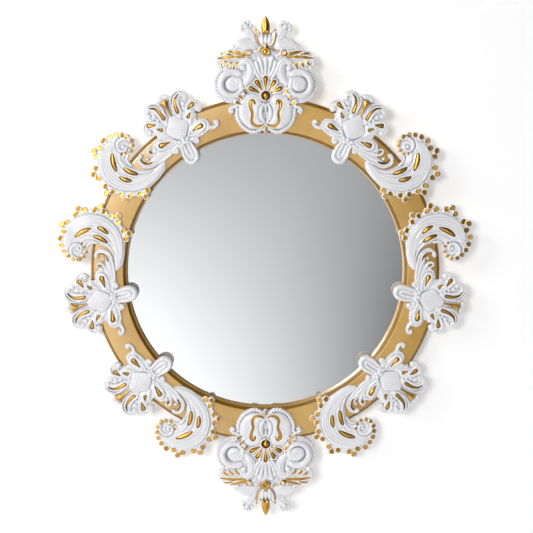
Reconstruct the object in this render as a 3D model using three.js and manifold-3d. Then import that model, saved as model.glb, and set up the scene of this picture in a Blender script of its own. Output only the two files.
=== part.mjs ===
// A round wall mirror: flat glass in a gilded wooden ring, with fourteen glazed porcelain
// ornaments bolted to the ring's face. Millimetres, +Z up; the mirror faces -Y and the wall is
// the plane y = 0. The origin lies on the wall, midway between the necks of the two keyhole
// hangers that carry the mirror.
//
// Inside, everything is drawn as it is seen from the front: x to the right, y up and z from
// the wall towards the viewer. The group `wallToFront` turns that drawing into the room.

import * as THREE from 'three';
import { mergeVertices } from 'three/addons/utils/BufferGeometryUtils.js';
import Module from 'manifold-3d';

const wasm = await Module();
wasm.setup();

// ---------------------------------------------------------------- driving dimensions

const fit = 0.3; // gap between two pieces that touch
const sinkFit = 0.5; // radial gap round a bolt or screw in its hole

const wallGap = 8; // the bumpers hold the ring this far off the wall
const ringThickness = 26;
const sightRadius = 263; // radius of the glass that shows
const rebateWidth = 9; // how far the ring laps over the glass
const beadWidth = 2.5; // from the sight edge outwards: a bead, a cove, a step, the flat face
const beadDepth = 1;
const coveWidth = 4;
const coveDepth = 5.5;
const stepWidth = 1;
const stepDepth = 1.5;
const faceWidth = 54.5;
const ringChamferWidth = 6;
const ringChamferDepth = 5;

const glassThickness = 5;
const boardThickness = 4;

const ornamentUnit = 1; // one unit of the ornaments' drawings below, in millimetres
const ornamentSink = 5.5; // depth of the bolt hole in an ornament
const boltRadius = 2.5;
const boltHeadRadius = 5;
const boltHeadHeight = 2.5;

const pairAngles = [31, -99.4, 131.2]; // palmettes whose paisley lies clockwise, from the top
const paisleyTurn = 17; // angle from a palmette to its paisley
const palmetteTilt = 4.5; // a palmette leans away from its paisley
const palmetteOffset = 16.5; // middle of the ring's wood out to the palmette's shield
const paisleyOffset = 52.5; // and to the paisley's spiral
const crestOffset = 31.5; // and to the crest's bead

const hangerAngle = 40; // from the top; the plates stand upright on the middle of the wood
const hangerLength = 50;
const hangerWidth = 18;
const hangerPlate = 2;
const keyholeRadius = 5;
const keyslotWidth = 5;
const keyslotLength = 12;
const pocketMargin = 2; // the pocket is this much wider than the keyhole
const pocketDepth = 9;
const hangerScrewInset = 6;

const screwRadius = 1.85;
const screwBore = 2.1; // hole for a screw in the plate that it holds
const screwHeadRadius = 3.6;
const screwHeadHeight = 1.6;
const screwDepth = 12;

const buttonAngles = [65, 115, -65, -115];
const buttonInset = 12; // from the rebate out to a button's pivot
const buttonReach = 27;
const buttonBigEnd = 7;
const buttonSmallEnd = 4.5;
const buttonPlate = 2;

const bumperAngles = [20, 167, -20, -167];
const bumperRadius = 9;

const ringSides = 56;
const boltSides = 6;
const screwSides = 6;
const boreSides = 12; // round enough for a button to turn about its six-sided screw
const keyholeSides = 12;
const beadSides = 6;
const beadCrown = 0.8; // a bead's crown is this much narrower than its foot

// ---------------------------------------------------------------- levels from the wall, and radii

const ringBack = wallGap;
const ringFront = ringBack + ringThickness;
const boardFront = ringBack + boardThickness;
const glassBack = boardFront + fit;
const glassFront = glassBack + glassThickness;
const rebateTop = glassFront + fit;
const ornamentBack = ringFront + fit;

const rebateRadius = sightRadius + rebateWidth;
const discRadius = rebateRadius - sinkFit;
const faceInnerRadius = sightRadius + beadWidth + coveWidth + stepWidth;
const faceOuterRadius = faceInnerRadius + faceWidth;
const ringOuterRadius = faceOuterRadius + ringChamferWidth;
const woodMiddle = (rebateRadius + ringOuterRadius) / 2;

const radians = THREE.MathUtils.degToRad;
const hangerX = woodMiddle * Math.sin(radians(hangerAngle));
const hangerHeight = woodMiddle * Math.cos(radians(hangerAngle));
const keyholeDrop = keyslotLength / 2; // keyhole centre below the plate's middle
const hangingHeight = hangerHeight - keyholeDrop + keyslotLength;
const hangerScrewReach = hangerLength / 2 - hangerScrewInset;

// ---------------------------------------------------------------- materials

const gilding = { color: 0xd2aa5c, roughness: 0.35, metalness: 0.85 };
const looks = {
  gilded: new THREE.MeshStandardMaterial(gilding),
  porcelain: new THREE.MeshStandardMaterial({ color: 0xeeeef2, roughness: 0.12, metalness: 0 }),
  mirror: new THREE.MeshStandardMaterial({ color: 0xd4d6d8, roughness: 0.02, metalness: 1 }),
  board: new THREE.MeshStandardMaterial({ color: 0x8a6a48, roughness: 0.85, metalness: 0 }),
  steel: new THREE.MeshStandardMaterial({ color: 0xb4b4b0, roughness: 0.35, metalness: 1 }),
  brass: new THREE.MeshStandardMaterial({ color: 0xc29a4a, roughness: 0.3, metalness: 1 }),
  rubber: new THREE.MeshStandardMaterial({ color: 0x2c2c2c, roughness: 0.8, metalness: 0 }),
};

// ---------------------------------------------------------------- solids

function solidOf(geometry) {
  const bare = geometry.clone();
  bare.deleteAttribute('normal');
  bare.deleteAttribute('uv');
  const welded = mergeVertices(bare, 1e-3);
  const vertProperties = Float32Array.from(welded.attributes.position.array);
  const triVerts = Uint32Array.from(welded.index.array);
  return new wasm.Manifold(new wasm.Mesh({ numProp: 3, vertProperties, triVerts }));
}

function geometryOf(solid) {
  const { vertProperties, triVerts } = solid.getMesh();
  const geometry = new THREE.BufferGeometry();
  geometry.setAttribute('position', new THREE.BufferAttribute(vertProperties, 3));
  geometry.setIndex(new THREE.BufferAttribute(triVerts, 1));
  return geometry;
}

const joined = (solids) => solids.reduce((whole, solid) => whole.add(solid));

// A flat outline, extruded from z = low to z = high, with its front and back edges bevelled.
function raised(outline, low, high, bevel = 0) {
  const geometry = new THREE.ExtrudeGeometry(new THREE.Shape(outline.map(vec)), {
    depth: high - low - 2 * bevel,
    curveSegments: 1,
    bevelEnabled: bevel > 0,
    bevelThickness: bevel,
    bevelSize: bevel,
    bevelOffset: -bevel,
    bevelSegments: 1,
  });
  geometry.translate(0, 0, low + bevel);
  return solidOf(geometry);
}

// A solid of revolution about z. The profile's points are (radius, z).
function turned(profile, sides) {
  const points = profile.map(([radius, z]) => new THREE.Vector2(radius, z));
  return solidOf(new THREE.LatheGeometry(points, sides).rotateX(Math.PI / 2));
}

const disc = (radius, low, high, sides) =>
  turned([[0, low], [radius, low], [radius, high], [0, high]], sides);

// A flush round: a part of an ornament's ground, so that its outline is scalloped.
const stud = ([x, y], radius) => disc(radius, 0, plateTop, beadSides).translate(x, y, 0);

// A bead that stands on the back plane, with its crown drawn in.
function bead([x, y], radius, top) {
  const profile = [[0, 0], [radius, 0], [beadCrown * radius, top], [0, top]];
  return turned(profile, beadSides).translate(x, y, 0);
}

// ---------------------------------------------------------------- outlines

const vec = ([x, y]) => new THREE.Vector2(x, y);
const range = (count) => Array.from({ length: count }, (_, i) => i);

// A point at a distance and an angle in degrees from (x, y).
function polar([x, y], reach, angle) {
  const turn = radians(angle);
  return [x + reach * Math.cos(turn), y + reach * Math.sin(turn)];
}

// Points on an ellipse about (x, y), from one angle to another in degrees.
function ellipseArc([x, y], rx, ry, from, to, steps) {
  return range(steps + 1).map((i) => {
    const turn = radians(from + ((to - from) * i) / steps);
    return [x + rx * Math.cos(turn), y + ry * Math.sin(turn)];
  });
}

// A smooth open line through a few points.
const smooth = (points, steps) => {
  const line = new THREE.SplineCurve(points.map(vec));
  return line.getPoints(steps).map(({ x, y }) => [x, y]);
};

// A smooth closed outline through a few points.
function smoothLoop(points, steps) {
  const corners = points.map(([x, y]) => new THREE.Vector3(x, y, 0));
  const loop = new THREE.CatmullRomCurve3(corners, true);
  return loop.getPoints(steps).slice(0, -1).map(({ x, y }) => [x, y]);
}

// A band along a smooth line; width(t) is its whole width at t = 0..1.
function ribbon(points, width, steps) {
  const line = new THREE.SplineCurve(points.map(vec));
  const edge = (side) => (i) => {
    const t = i / steps;
    const { x, y } = line.getPoint(t);
    const along = line.getTangent(t);
    const half = (side * width(t)) / 2;
    return [x - half * along.y, y + half * along.x];
  };
  const stations = range(steps + 1);
  return stations.map(edge(1)).concat(stations.reverse().map(edge(-1)));
}

const taper = (from, to) => (t) => from + (to - from) * t;
const swelling = (width, least) => (t) => least + (width - least) * Math.sin(Math.PI * t);

// A drop with its round end at `fat` and its point at `thin`.
function teardrop([fatX, fatY], [thinX, thinY], width, steps) {
  const [dx, dy] = [thinX - fatX, thinY - fatY];
  const length = Math.hypot(dx, dy);
  const fullness = 1.3; // makes the widest place as wide as `width`
  return range(steps).map((i) => {
    const turn = (2 * Math.PI * i) / steps;
    const along = (1 - Math.cos(turn)) / 2;
    const across = ((fullness * width) / 2) * Math.sin(turn) * Math.abs(Math.cos(turn / 2));
    return [fatX + along * dx - (across * dy) / length, fatY + along * dy + (across * dx) / length];
  });
}

// A pointed lens between two points.
const lens = (from, to, width, steps) => {
  const middle = [(from[0] + to[0]) / 2, (from[1] + to[1]) / 2];
  const edges = ribbon([from, middle, to], swelling(width, 0), steps);
  return edges.filter((_, i) => i !== steps && i !== 2 * steps + 1);
};

// ---------------------------------------------------------------- ornaments

const plateTop = 6; // thickness of an ornament's plain ground
const recessDepth = 2.5;
const farFront = 30; // in front of everything that an ornament has
const widest = 2 * ringOuterRadius; // wider than everything that an ornament has

const boltHole = ([x, y]) =>
  disc(boltRadius + sinkFit, -1, ornamentSink, boltSides)
    .translate(x * ornamentUnit, y * ornamentUnit, 0);

const recess = (outline) => raised(outline, plateTop - recessDepth, farFront);

// Joins an ornament's relief, trims its back flat and sinks its recesses and bolt holes.
function ornament(relief, recesses, bolts) {
  const behind = solidOf(new THREE.BoxGeometry(widest, widest, widest));
  const sunk = joined([behind.translate(0, 0, -widest / 2), ...recesses.map(recess)]);
  const carved = joined(relief).subtract(sunk).scale([ornamentUnit, ornamentUnit, 1]);
  return carved.subtract(joined(bolts.map(boltHole)));
}

const both = (make) => [make(1), make(-1)].flat();

// A palmette: a domed shield with leaves round its head, a tongue that reaches over the glass,
// a free curl on one side and, on the other, a tendril towards its paisley.
const palmetteBolt = [0, -19];
const shieldTop = 10;
const leafTop = 8;

function palmette(side) {
  const at = (x, y) => [side * x, y];
  const shield = [[0, 25], [-19, 18], [-21, -8], [0, -27], [21, -8], [19, 18]];
  const leaves = both((s) => {
    const head = [at(s * 8, 22), at(s * 24, 28), at(s * 41, 46), at(s * 34, 60), at(s * 19, 56)];
    const flank = [at(s * 20, 10), at(s * 42, 19), at(s * 56, 25), at(s * 56, 13), at(s * 49, 12)];
    const lobe = [at(s * 12, -8), at(s * 34, -3), at(s * 52, -13), at(s * 42, -28), at(s * 14, -22)];
    return [
      raised(smoothLoop(head, 7), 0, leafTop),
      raised(ribbon(flank, taper(24, 5), 4), 0, plateTop),
      raised(smoothLoop(lobe, 7), 0, plateTop),
      stud(at(s * 16, -36), 6),
    ];
  });
  const tongue = ellipseArc([0, -56], 14, 13.5, 180, 360, 5).concat([[10, -24], [-10, -24]]);
  const freeCurl = [at(-44, -22), at(-57, -27), at(-67, -27), at(-69, -20), at(-62, -17)];
  const tendril = [at(36, -26), at(56, -36), at(74, -38), at(86, -31), at(88, -20), at(82, -15)];
  const tendrilWidth = (t) => 8 + 7 * Math.sin(Math.PI * t) - 4 * t;
  const relief = [
    raised(shield, -3, shieldTop, 2.5),
    ...leaves,
    raised(ellipseArc([0, 50], 13, 17, 20, 160, 4), 0, plateTop),
    raised(ribbon([[0, 20], [0, 38], [0, 57]], taper(5, 17), 2), 0, plateTop),
    raised(tongue, 0, leafTop),
    bead([0, -28], 5, shieldTop),
    raised(ribbon(freeCurl, taper(11, 4), 4), 0, plateTop),
    raised(ribbon(tendril, tendrilWidth, 6), 0, plateTop),
    stud(at(62, -27), 5),
  ];
  const gilt = both((s) => [
    teardrop(at(s * 44, -15), at(s * 24, -15), 8, 6),
    lens(at(s * 48, 29), at(s * 34, 24), 6, 2),
    ribbon([at(s * 13, 29), at(s * 17, 43), at(s * 28, 54)], taper(6, 1.5), 2),
  ]);
  const tendrilGilt = ribbon([at(70, -36), at(80, -32), at(84, -21)], swelling(5, 1), 3);
  const tongueGroove = teardrop([0, -62], [0, -38], 13, 6);
  const [boltX, boltY] = palmetteBolt;
  return ornament(relief, [...gilt, tendrilGilt, tongueGroove], [at(boltX, boltY)]);
}

// A paisley: a broad comma that winds into a spiral. Its convex edge is part of an oval, with
// five groups of three round dots, and a row of dots shrinks along the spiral.
const paisleyBolt = [32, -63];
const ovalCentre = [24, -27];
const ovalWidth = 53;
const ovalHeight = 58.5;
const dotRadius = 5.4;
const dotGroups = 5;
const firstGroup = -75; // the oval's angles at which the groups stand
const groupStep = 37;
const groupSpread = 8.5; // the outer dots of a group stand this far from its middle
const groupPush = 7.5; // its middle dot stands this far out
const spiralStart = 66;
const spiralEnd = 262;
const spiralReach = (angle) => 9 + 31 * Math.exp((spiralStart - angle) / 95);
const spiralDot = (angle) => 2.4 + 3.4 * Math.exp((spiralStart - angle) / 110);
const ridgeTop = 9;

// The outer edge of one group of dots: three points on the free side of each.
function groupEdge(ovalAngle) {
  const [c, s] = [Math.cos(radians(ovalAngle)), Math.sin(radians(ovalAngle))];
  const middle = [ovalCentre[0] + ovalWidth * c, ovalCentre[1] + ovalHeight * s];
  const outward = THREE.MathUtils.radToDeg(Math.atan2(ovalWidth * s, ovalHeight * c));
  return [-1, 0, 1].flatMap((k) => {
    const beside = polar(middle, k * groupSpread, outward + 90);
    const centre = k === 0 ? polar(middle, groupPush, outward) : beside;
    return [-50, 0, 50].map((lean) => polar(centre, dotRadius, outward + 40 * k + lean));
  });
}

// The outer edge of the row of dots round the spiral: two points to a dot and one between.
function spiralEdge() {
  const edge = [];
  for (let angle = spiralStart; angle < spiralEnd; ) {
    const radius = spiralDot(angle);
    const reach = spiralReach(angle);
    const pitch = THREE.MathUtils.radToDeg((5 + 1.4 * radius) / reach);
    edge.push(polar([0, 0], reach + radius, angle - pitch / 6));
    edge.push(polar([0, 0], reach + radius, angle + pitch / 6));
    edge.push(polar([0, 0], reach + radius / 2, angle + pitch / 2));
    angle += pitch;
  }
  return edge;
}

function paisley(side) {
  const flip = ([x, y]) => [side * x, y];
  const hollow = [[13, -20], [16, -28], [11, -43], [6, -55], [-4, -64], [-17, -68], [-30, -75]];
  const outline = [
    ...range(dotGroups).flatMap((i) => groupEdge(firstGroup + i * groupStep)),
    ...spiralEdge(),
    ...smooth(hollow, 7),
    [-20, -84],
    [4, -87],
  ];
  const ridge = [[-20, -77], [20, -73], [50, -54], [61, -22], [48, 8], [20, 21], [-3, 14], [-7, -1]];
  const ridgeWidth = (t) => 4 + 13 * Math.sin(Math.PI * Math.min(1, 1.2 * t)) ** 2;
  const rib = [[-22, -75], [6, -69], [27, -52], [34, -28], [27, -6]];
  const relief = [
    raised(outline.map(flip), 0, plateTop),
    raised(ribbon(ridge.map(flip), ridgeWidth, 8), 1, ridgeTop),
    raised(ribbon(rib.map(flip), swelling(8, 2), 4), 1, leafTop),
    bead([0, 0], 4, ridgeTop),
  ];
  const slots = [
    lens([39, -20], [19, 9], 8, 3),
    lens([35, -51], [43, -33], 6.5, 2),
    lens([18, -50], [23, -25], 6, 2),
  ];
  return ornament(relief, slots.map((slot) => slot.map(flip)), [flip(paisleyBolt)]);
}

// A crest: a bud finial in a cup over acanthus sprays and two volutes, a fan of petals round a
// bead, and two scalloped lobes that hang to the edge of the glass.
const crestBolts = [[22, -30], [-22, -30]];
const crestTop = 11; // front of the highest relief, but for the middle bead
const voluteCentre = [62.5, 18.5];
const voluteRadius = 34;
const voluteTurns = 1.2;
const voluteFirst = 200;
const scallopDepth = 2;
const fanRadius = 42;

// An arc of an ellipse with a scalloped edge: a crest and a valley to each scallop.
function scalloped(centre, rx, ry, from, to, count) {
  const outer = ellipseArc(centre, rx, ry, from, to, count * 2);
  const inner = ellipseArc(centre, rx - scallopDepth, ry - scallopDepth, from, to, count * 2);
  return outer.map((point, i) => (i % 2 ? inner[i] : point));
}

function voluteRidge(flip) {
  const line = range(7).map((i) => {
    const t = i / 6;
    const reach = (voluteRadius - 10) * (1 - 0.8 * t);
    return flip(polar(voluteCentre, reach, voluteFirst - 360 * voluteTurns * t));
  });
  return raised(ribbon(line, taper(13, 5), 8), 1, crestTop);
}

// One half of the crest: s is 1 on the right and -1 on the left.
function crestHalf(s) {
  const flip = ([x, y]) => [s * x, y];
  const flat = (outline, top) => raised(outline.map(flip), 0, top);
  const upon = (line, width, steps, top) => raised(ribbon(line.map(flip), width, steps), 1, top);
  const lobe = scalloped([27, -32], 29, 37, 25, -115, 4).concat([[-1, -58], [-1, 4], [30, 8]]);
  const volute = scalloped(voluteCentre, voluteRadius, voluteRadius, -130, 130, 6);
  const spray = [[-1, 36], [34, 40], [60, 46], [88, 52], [93, 66], [84, 80], [60, 85], [30, 84]];
  const leaf = [[14, 84], [40, 82], [60, 93], [54, 106], [34, 107]];
  const lyre = [[17, -12], [24, -11], [23, -32], [26, -47], [17, -56], [3, -55]];
  const sprayLeaves = [
    [[90, 70], [34, 73]],
    [[71, 82], [42, 77]],
    [[84, 53], [68, 66]],
    [[72, 49], [58, 64]],
    [[59, 47], [48, 62]],
  ];
  return [
    flat(lobe, plateTop),
    flat([...volute, [28, 42], [20, 20], [28, -6]], plateTop),
    flat(smoothLoop(spray, 10).concat([[-1, 84]]), plateTop),
    flat(ribbon([[44, -8], [56, -15], [62, -28], [69, -27]], taper(9, 4), 4), plateTop),
    flat(smoothLoop(leaf, 7), leafTop),
    flat(ribbon([[14, 88], [24, 106], [33, 126]], taper(12, 7), 2), plateTop),
    upon([[12, -6], [32, -18], [42, -36], [36, -52], [22, -60]], swelling(16, 2), 4, leafTop),
    upon(lyre, taper(4.5, 3.5), 5, crestTop),
    upon([[14, 36], [17, 55], [11, 74]], swelling(9, 3), 3, ridgeTop),
    voluteRidge(flip),
    ...sprayLeaves.map(([tip, root]) => raised(lens(flip(tip), flip(root), 5, 2), 1, leafTop)),
    bead(flip([32.5, 78]), 5.5, ridgeTop),
    stud(flip([30, 129]), 5),
    stud(flip([38, 126]), 5),
  ];
}

function crest() {
  const petals = [26, 58, 90, 122, 154].map((angle) => {
    const [fat, thin] = [polar([0, 0], 37, angle), polar([0, 0], 9, angle)];
    return raised(teardrop(fat, thin, 9, 6), 1, ridgeTop);
  });
  const cupHalf = [[5, 78], [17, 102], [18, 121], [7, 116]];
  const cup = [...cupHalf, [0, 122], ...cupHalf.map(([x, y]) => [-x, y]).reverse()];
  const relief = [
    ...both(crestHalf),
    raised(ellipseArc([0, 0], fanRadius, fanRadius, 0, 180, 9), 0, plateTop),
    ...petals,
    raised(cup, 0, leafTop),
    raised(teardrop([0, 108], [0, 145], 19, 8), -2, crestTop, 1.5),
    bead([0, 80], 8, crestTop),
    bead([0, 0], 7.5, crestTop + 2),
    raised([[-6, 0], [0, -22], [6, 0]], 0, leafTop),
  ];
  return ornament(relief, [], crestBolts);
}

// ---------------------------------------------------------------- ring, glass and back

// Where a bolt goes, from an ornament's own drawing to the ring's.
function placed([x, y], angle, radius, tilt = 0) {
  const turn = radians(angle);
  return new THREE.Vector2(x, y)
    .multiplyScalar(ornamentUnit)
    .rotateAround(new THREE.Vector2(), radians(tilt))
    .add(new THREE.Vector2(0, radius))
    .rotateAround(new THREE.Vector2(), -turn);
}

const onRing = (angle, radius) => placed([0, 0], angle, radius);

const sideName = (angle) => (angle > 0 ? 'right' : 'left');
const heightName = (angle) => (Math.abs(angle) < 90 ? 'upper' : 'lower');
const rankName = (angle) => (Math.abs(Math.abs(angle) - 90) < 30 ? 'middle' : heightName(angle));

// Every ornament with its place: an angle from the top, a radius and a tilt.
const oneCrest = { make: crest, bolts: crestBolts, radius: woodMiddle + crestOffset, tilt: 0 };
const ornaments = [
  { ...oneCrest, name: 'crest_top', angle: 0 },
  { ...oneCrest, name: 'crest_bottom', angle: 180 },
];
for (const side of [1, -1]) {
  for (const pairAngle of pairAngles) {
    const palmetteAngle = side * pairAngle;
    const paisleyAngle = side * (pairAngle + paisleyTurn);
    const where = `${rankName(palmetteAngle)}_${sideName(palmetteAngle)}`;
    ornaments.push({
      name: `palmette_${where}`,
      make: () => palmette(side),
      bolts: [[side * palmetteBolt[0], palmetteBolt[1]]],
      angle: palmetteAngle,
      radius: woodMiddle + palmetteOffset,
      tilt: side * palmetteTilt,
    });
    ornaments.push({
      name: `paisley_${where}`,
      make: () => paisley(side),
      bolts: [[side * paisleyBolt[0], paisleyBolt[1]]],
      angle: paisleyAngle,
      radius: woodMiddle + paisleyOffset,
      tilt: 0,
    });
  }
}

const boltPlaces = ornaments.flatMap(({ name, bolts, angle, radius, tilt }) =>
  bolts.map((bolt, i) => ({
    name: `${name}_bolt${bolts.length > 1 ? `_${i + 1}` : ''}`,
    place: placed(bolt, angle, radius, tilt),
  })),
);

const hangers = [-1, 1].map((side) => ({
  name: side > 0 ? 'right' : 'left',
  x: side * hangerX,
  screws: [1, -1].map((end) => ({
    name: end > 0 ? 'top' : 'bottom',
    place: new THREE.Vector2(side * hangerX, hangerHeight + end * hangerScrewReach),
  })),
}));

const buttons = buttonAngles.map((angle) => ({
  name: `${heightName(angle)}_${sideName(angle)}`,
  angle,
  place: onRing(angle, rebateRadius + buttonInset),
}));

function keyhole(low, high, margin) {
  const y = hangerHeight - keyholeDrop;
  const hole = disc(keyholeRadius + margin, low, high, keyholeSides).translate(0, y, 0);
  const half = keyslotWidth / 2 + margin;
  const neck = y + keyslotLength + margin;
  const slot = raised([[-half, y], [half, y], [half, neck], [-half, neck]], low, high);
  return hole.add(slot);
}

function ringFrame() {
  const profile = [
    [rebateRadius, ringBack],
    [ringOuterRadius, ringBack],
    [ringOuterRadius, ringFront - ringChamferDepth],
    [faceOuterRadius, ringFront],
    [faceInnerRadius, ringFront],
    [faceInnerRadius - stepWidth, ringFront - stepDepth],
    [faceInnerRadius - stepWidth - coveWidth, ringFront - stepDepth - coveDepth],
    [sightRadius, ringFront - stepDepth - coveDepth - beadDepth],
    [sightRadius, rebateTop],
    [rebateRadius, rebateTop],
    [rebateRadius, ringBack],
  ];
  const through = disc(boltRadius + sinkFit, ringBack - 1, ringFront + 1, boltSides);
  const boltHoles = boltPlaces.map(({ place }) => through.translate(place.x, place.y, 0));
  const screwPlaces = hangers.flatMap(({ screws }) => screws).concat(buttons).map(({ place }) => place);
  const screwHole = disc(screwRadius + sinkFit, ringBack - 1, ringBack + screwDepth + fit, screwSides);
  const screwHoles = screwPlaces.map(({ x, y }) => screwHole.translate(x, y, 0));
  const pockets = hangers.map(({ x }) =>
    keyhole(ringBack - 1, ringBack + pocketDepth, pocketMargin).translate(x, 0, 0));
  return turned(profile, ringSides).subtract(joined([...boltHoles, ...screwHoles, ...pockets]));
}

function bolt() {
  const head = ringBack - fit;
  const tip = ornamentBack + ornamentSink - fit;
  const profile = [
    [0, head - boltHeadHeight],
    [boltHeadRadius, head - boltHeadHeight],
    [boltHeadRadius, head],
    [boltRadius, head],
    [boltRadius, tip],
    [0, tip],
  ];
  return turned(profile, boltSides);
}

// A wood screw whose head bears on a plate: `under` is the level of the plate's outer face.
function screw(under) {
  const head = under - fit;
  const tip = ringBack + screwDepth;
  const profile = [
    [0, head - screwHeadHeight],
    [screwHeadRadius - 1, head - screwHeadHeight],
    [screwHeadRadius, head],
    [screwRadius, head],
    [screwRadius, tip - 2 * screwRadius],
    [0, tip],
  ];
  return turned(profile, screwSides);
}

const hangerOuter = ringBack - fit - hangerPlate;

function hangerPlateSolid() {
  const half = hangerWidth / 2;
  const ends = [0, 180].flatMap((from) => {
    const middle = hangerHeight + Math.cos(radians(from)) * (hangerLength / 2 - half);
    return ellipseArc([0, middle], half, half, from, from + 180, 6);
  });
  const plate = raised(ends, hangerOuter, ringBack - fit);
  const bore = disc(screwBore, hangerOuter - 1, ringBack, screwSides);
  const bores = hangers[0].screws.map(({ place }) => bore.translate(0, place.y, 0));
  return plate.subtract(joined([...bores, keyhole(hangerOuter - 1, ringBack, 0)]));
}

const buttonOuter = ringBack - fit - buttonPlate;

// The button's bore is at the origin and its small end points down.
function turnButton() {
  const lean = THREE.MathUtils.radToDeg(Math.asin((buttonBigEnd - buttonSmallEnd) / buttonReach));
  const outline = [
    ...ellipseArc([0, 0], buttonBigEnd, buttonBigEnd, -lean, 180 + lean, 8),
    ...ellipseArc([0, -buttonReach], buttonSmallEnd, buttonSmallEnd, 180 + lean, 360 - lean, 5),
  ];
  const plate = raised(outline, buttonOuter, ringBack - fit);
  return plate.subtract(disc(screwBore, buttonOuter - 1, ringBack, boreSides));
}

// ---------------------------------------------------------------- the assembly

function named(name, solid, look) {
  const mesh = new THREE.Mesh(geometryOf(solid), look);
  mesh.name = name;
  return mesh;
}

const mirror = new THREE.Group();

// Adds a named mesh to the mirror, moved across the wall to (x, y).
function add(name, solid, look, { x, y } = { x: 0, y: 0 }) {
  const mesh = named(name, solid, look);
  mesh.position.set(x, y, 0);
  mirror.add(mesh);
  return mesh;
}

add('ring_frame', ringFrame(), looks.gilded);
add('mirror_glass', disc(discRadius, glassBack, glassFront, ringSides), looks.mirror);
add('backing_board', disc(discRadius, ringBack, boardFront, ringSides), looks.board);

for (const { name, make, angle, radius, tilt } of ornaments) {
  const arm = new THREE.Group();
  arm.rotation.z = -radians(angle);
  const piece = named(name, make(), looks.porcelain);
  piece.position.set(0, radius, ornamentBack);
  piece.rotation.z = radians(tilt);
  arm.add(piece);
  mirror.add(arm);
}

for (const { name, place } of boltPlaces) {
  add(name, bolt(), looks.steel, place);
}

for (const { name, x, screws } of hangers) {
  add(`hanger_plate_${name}`, hangerPlateSolid(), looks.steel, { x, y: 0 });
  for (const end of screws) {
    add(`hanger_screw_${name}_${end.name}`, screw(hangerOuter), looks.steel, end.place);
  }
}

for (const { name, angle, place } of buttons) {
  add(`turn_button_${name}`, turnButton(), looks.brass, place).rotation.z = -radians(angle);
  add(`turn_button_screw_${name}`, screw(buttonOuter), looks.brass, place);
}

for (const angle of bumperAngles) {
  const name = `wall_bumper_${heightName(angle)}_${sideName(angle)}`;
  const bumper = disc(bumperRadius, 0, ringBack - fit, screwSides);
  add(name, bumper, looks.rubber, onRing(angle, woodMiddle));
}

mirror.position.y = -hangingHeight;
const wallToFront = new THREE.Group();
wallToFront.rotation.x = Math.PI / 2;
wallToFront.add(mirror);

const part = new THREE.Group();
part.add(wallToFront);

export default part;
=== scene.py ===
"""A round wall mirror: flat glass in a gilded ring that carries fourteen porcelain ornaments.

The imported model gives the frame, and this script dresses it. An ornament is drawn form by form as
a relief in millimetres, in a drawing of its own that the ornament's place on the ring then turns
into the room: x to the right, y away from the ring's centre and height away from the ring's face.
"""

from __future__ import annotations

import logging
import math
from dataclasses import dataclass, field
from enum import Enum
from typing import Callable, Iterable, Iterator, Sequence

import bmesh
import bpy
import numpy as np
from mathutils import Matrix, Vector
from mathutils.geometry import delaunay_2d_cdt

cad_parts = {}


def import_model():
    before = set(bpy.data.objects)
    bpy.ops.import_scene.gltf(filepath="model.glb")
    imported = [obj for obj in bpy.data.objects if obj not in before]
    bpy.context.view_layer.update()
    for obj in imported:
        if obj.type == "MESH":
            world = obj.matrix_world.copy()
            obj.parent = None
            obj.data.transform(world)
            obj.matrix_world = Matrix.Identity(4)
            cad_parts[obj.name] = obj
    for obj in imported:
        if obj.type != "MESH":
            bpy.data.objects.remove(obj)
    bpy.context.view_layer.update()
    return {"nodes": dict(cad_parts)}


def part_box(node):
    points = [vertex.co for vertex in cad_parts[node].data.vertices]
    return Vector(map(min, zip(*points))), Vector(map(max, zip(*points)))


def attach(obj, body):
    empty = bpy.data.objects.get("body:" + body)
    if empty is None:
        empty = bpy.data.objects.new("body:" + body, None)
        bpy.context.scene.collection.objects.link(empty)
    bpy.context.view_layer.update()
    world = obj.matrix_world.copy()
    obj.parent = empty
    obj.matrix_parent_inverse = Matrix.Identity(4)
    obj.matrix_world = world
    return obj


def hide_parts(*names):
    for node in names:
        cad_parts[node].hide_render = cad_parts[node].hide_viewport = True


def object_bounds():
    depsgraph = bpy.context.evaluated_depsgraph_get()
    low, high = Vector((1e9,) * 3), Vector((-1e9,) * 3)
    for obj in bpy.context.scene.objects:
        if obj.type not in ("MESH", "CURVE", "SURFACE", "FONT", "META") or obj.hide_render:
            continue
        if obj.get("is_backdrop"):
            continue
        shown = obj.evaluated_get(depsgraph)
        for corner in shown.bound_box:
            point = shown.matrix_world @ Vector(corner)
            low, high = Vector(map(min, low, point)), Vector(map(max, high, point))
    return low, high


LOG = logging.getLogger("wall_mirror")

MM = 0.001
RING_CENTRE = -236.962
ROUND_STEPS = 288
WHITE = (1.0, 1.0, 1.0, 1.0)

Point = tuple[float, float]
Grid = np.ndarray
Material = bpy.types.Material
Piece = bpy.types.Object
Length = Callable[[Grid], Grid]


# --- lines in the plane


def polar(centre: Point, reach: float, angle: float) -> Point:
    """Returns the point at a distance and an angle in degrees from a centre."""
    turn = math.radians(angle)
    return (centre[0] + reach * math.cos(turn), centre[1] + reach * math.sin(turn))


def arc(centre: Point, rx: float, ry: float, start: float, end: float, steps: int) -> list[Point]:
    """Returns points along an arc of an ellipse.

    Args:
        centre: Middle of the ellipse.
        rx: Half its width.
        ry: Half its height.
        start: Angle of the first point, in degrees.
        end: Angle of the last point, in degrees.
        steps: Number of stretches.

    Returns:
        The points, both ends among them.
    """
    turns = np.radians(np.linspace(start, end, steps + 1))
    return [(centre[0] + rx * math.cos(t), centre[1] + ry * math.sin(t)) for t in turns]


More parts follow.
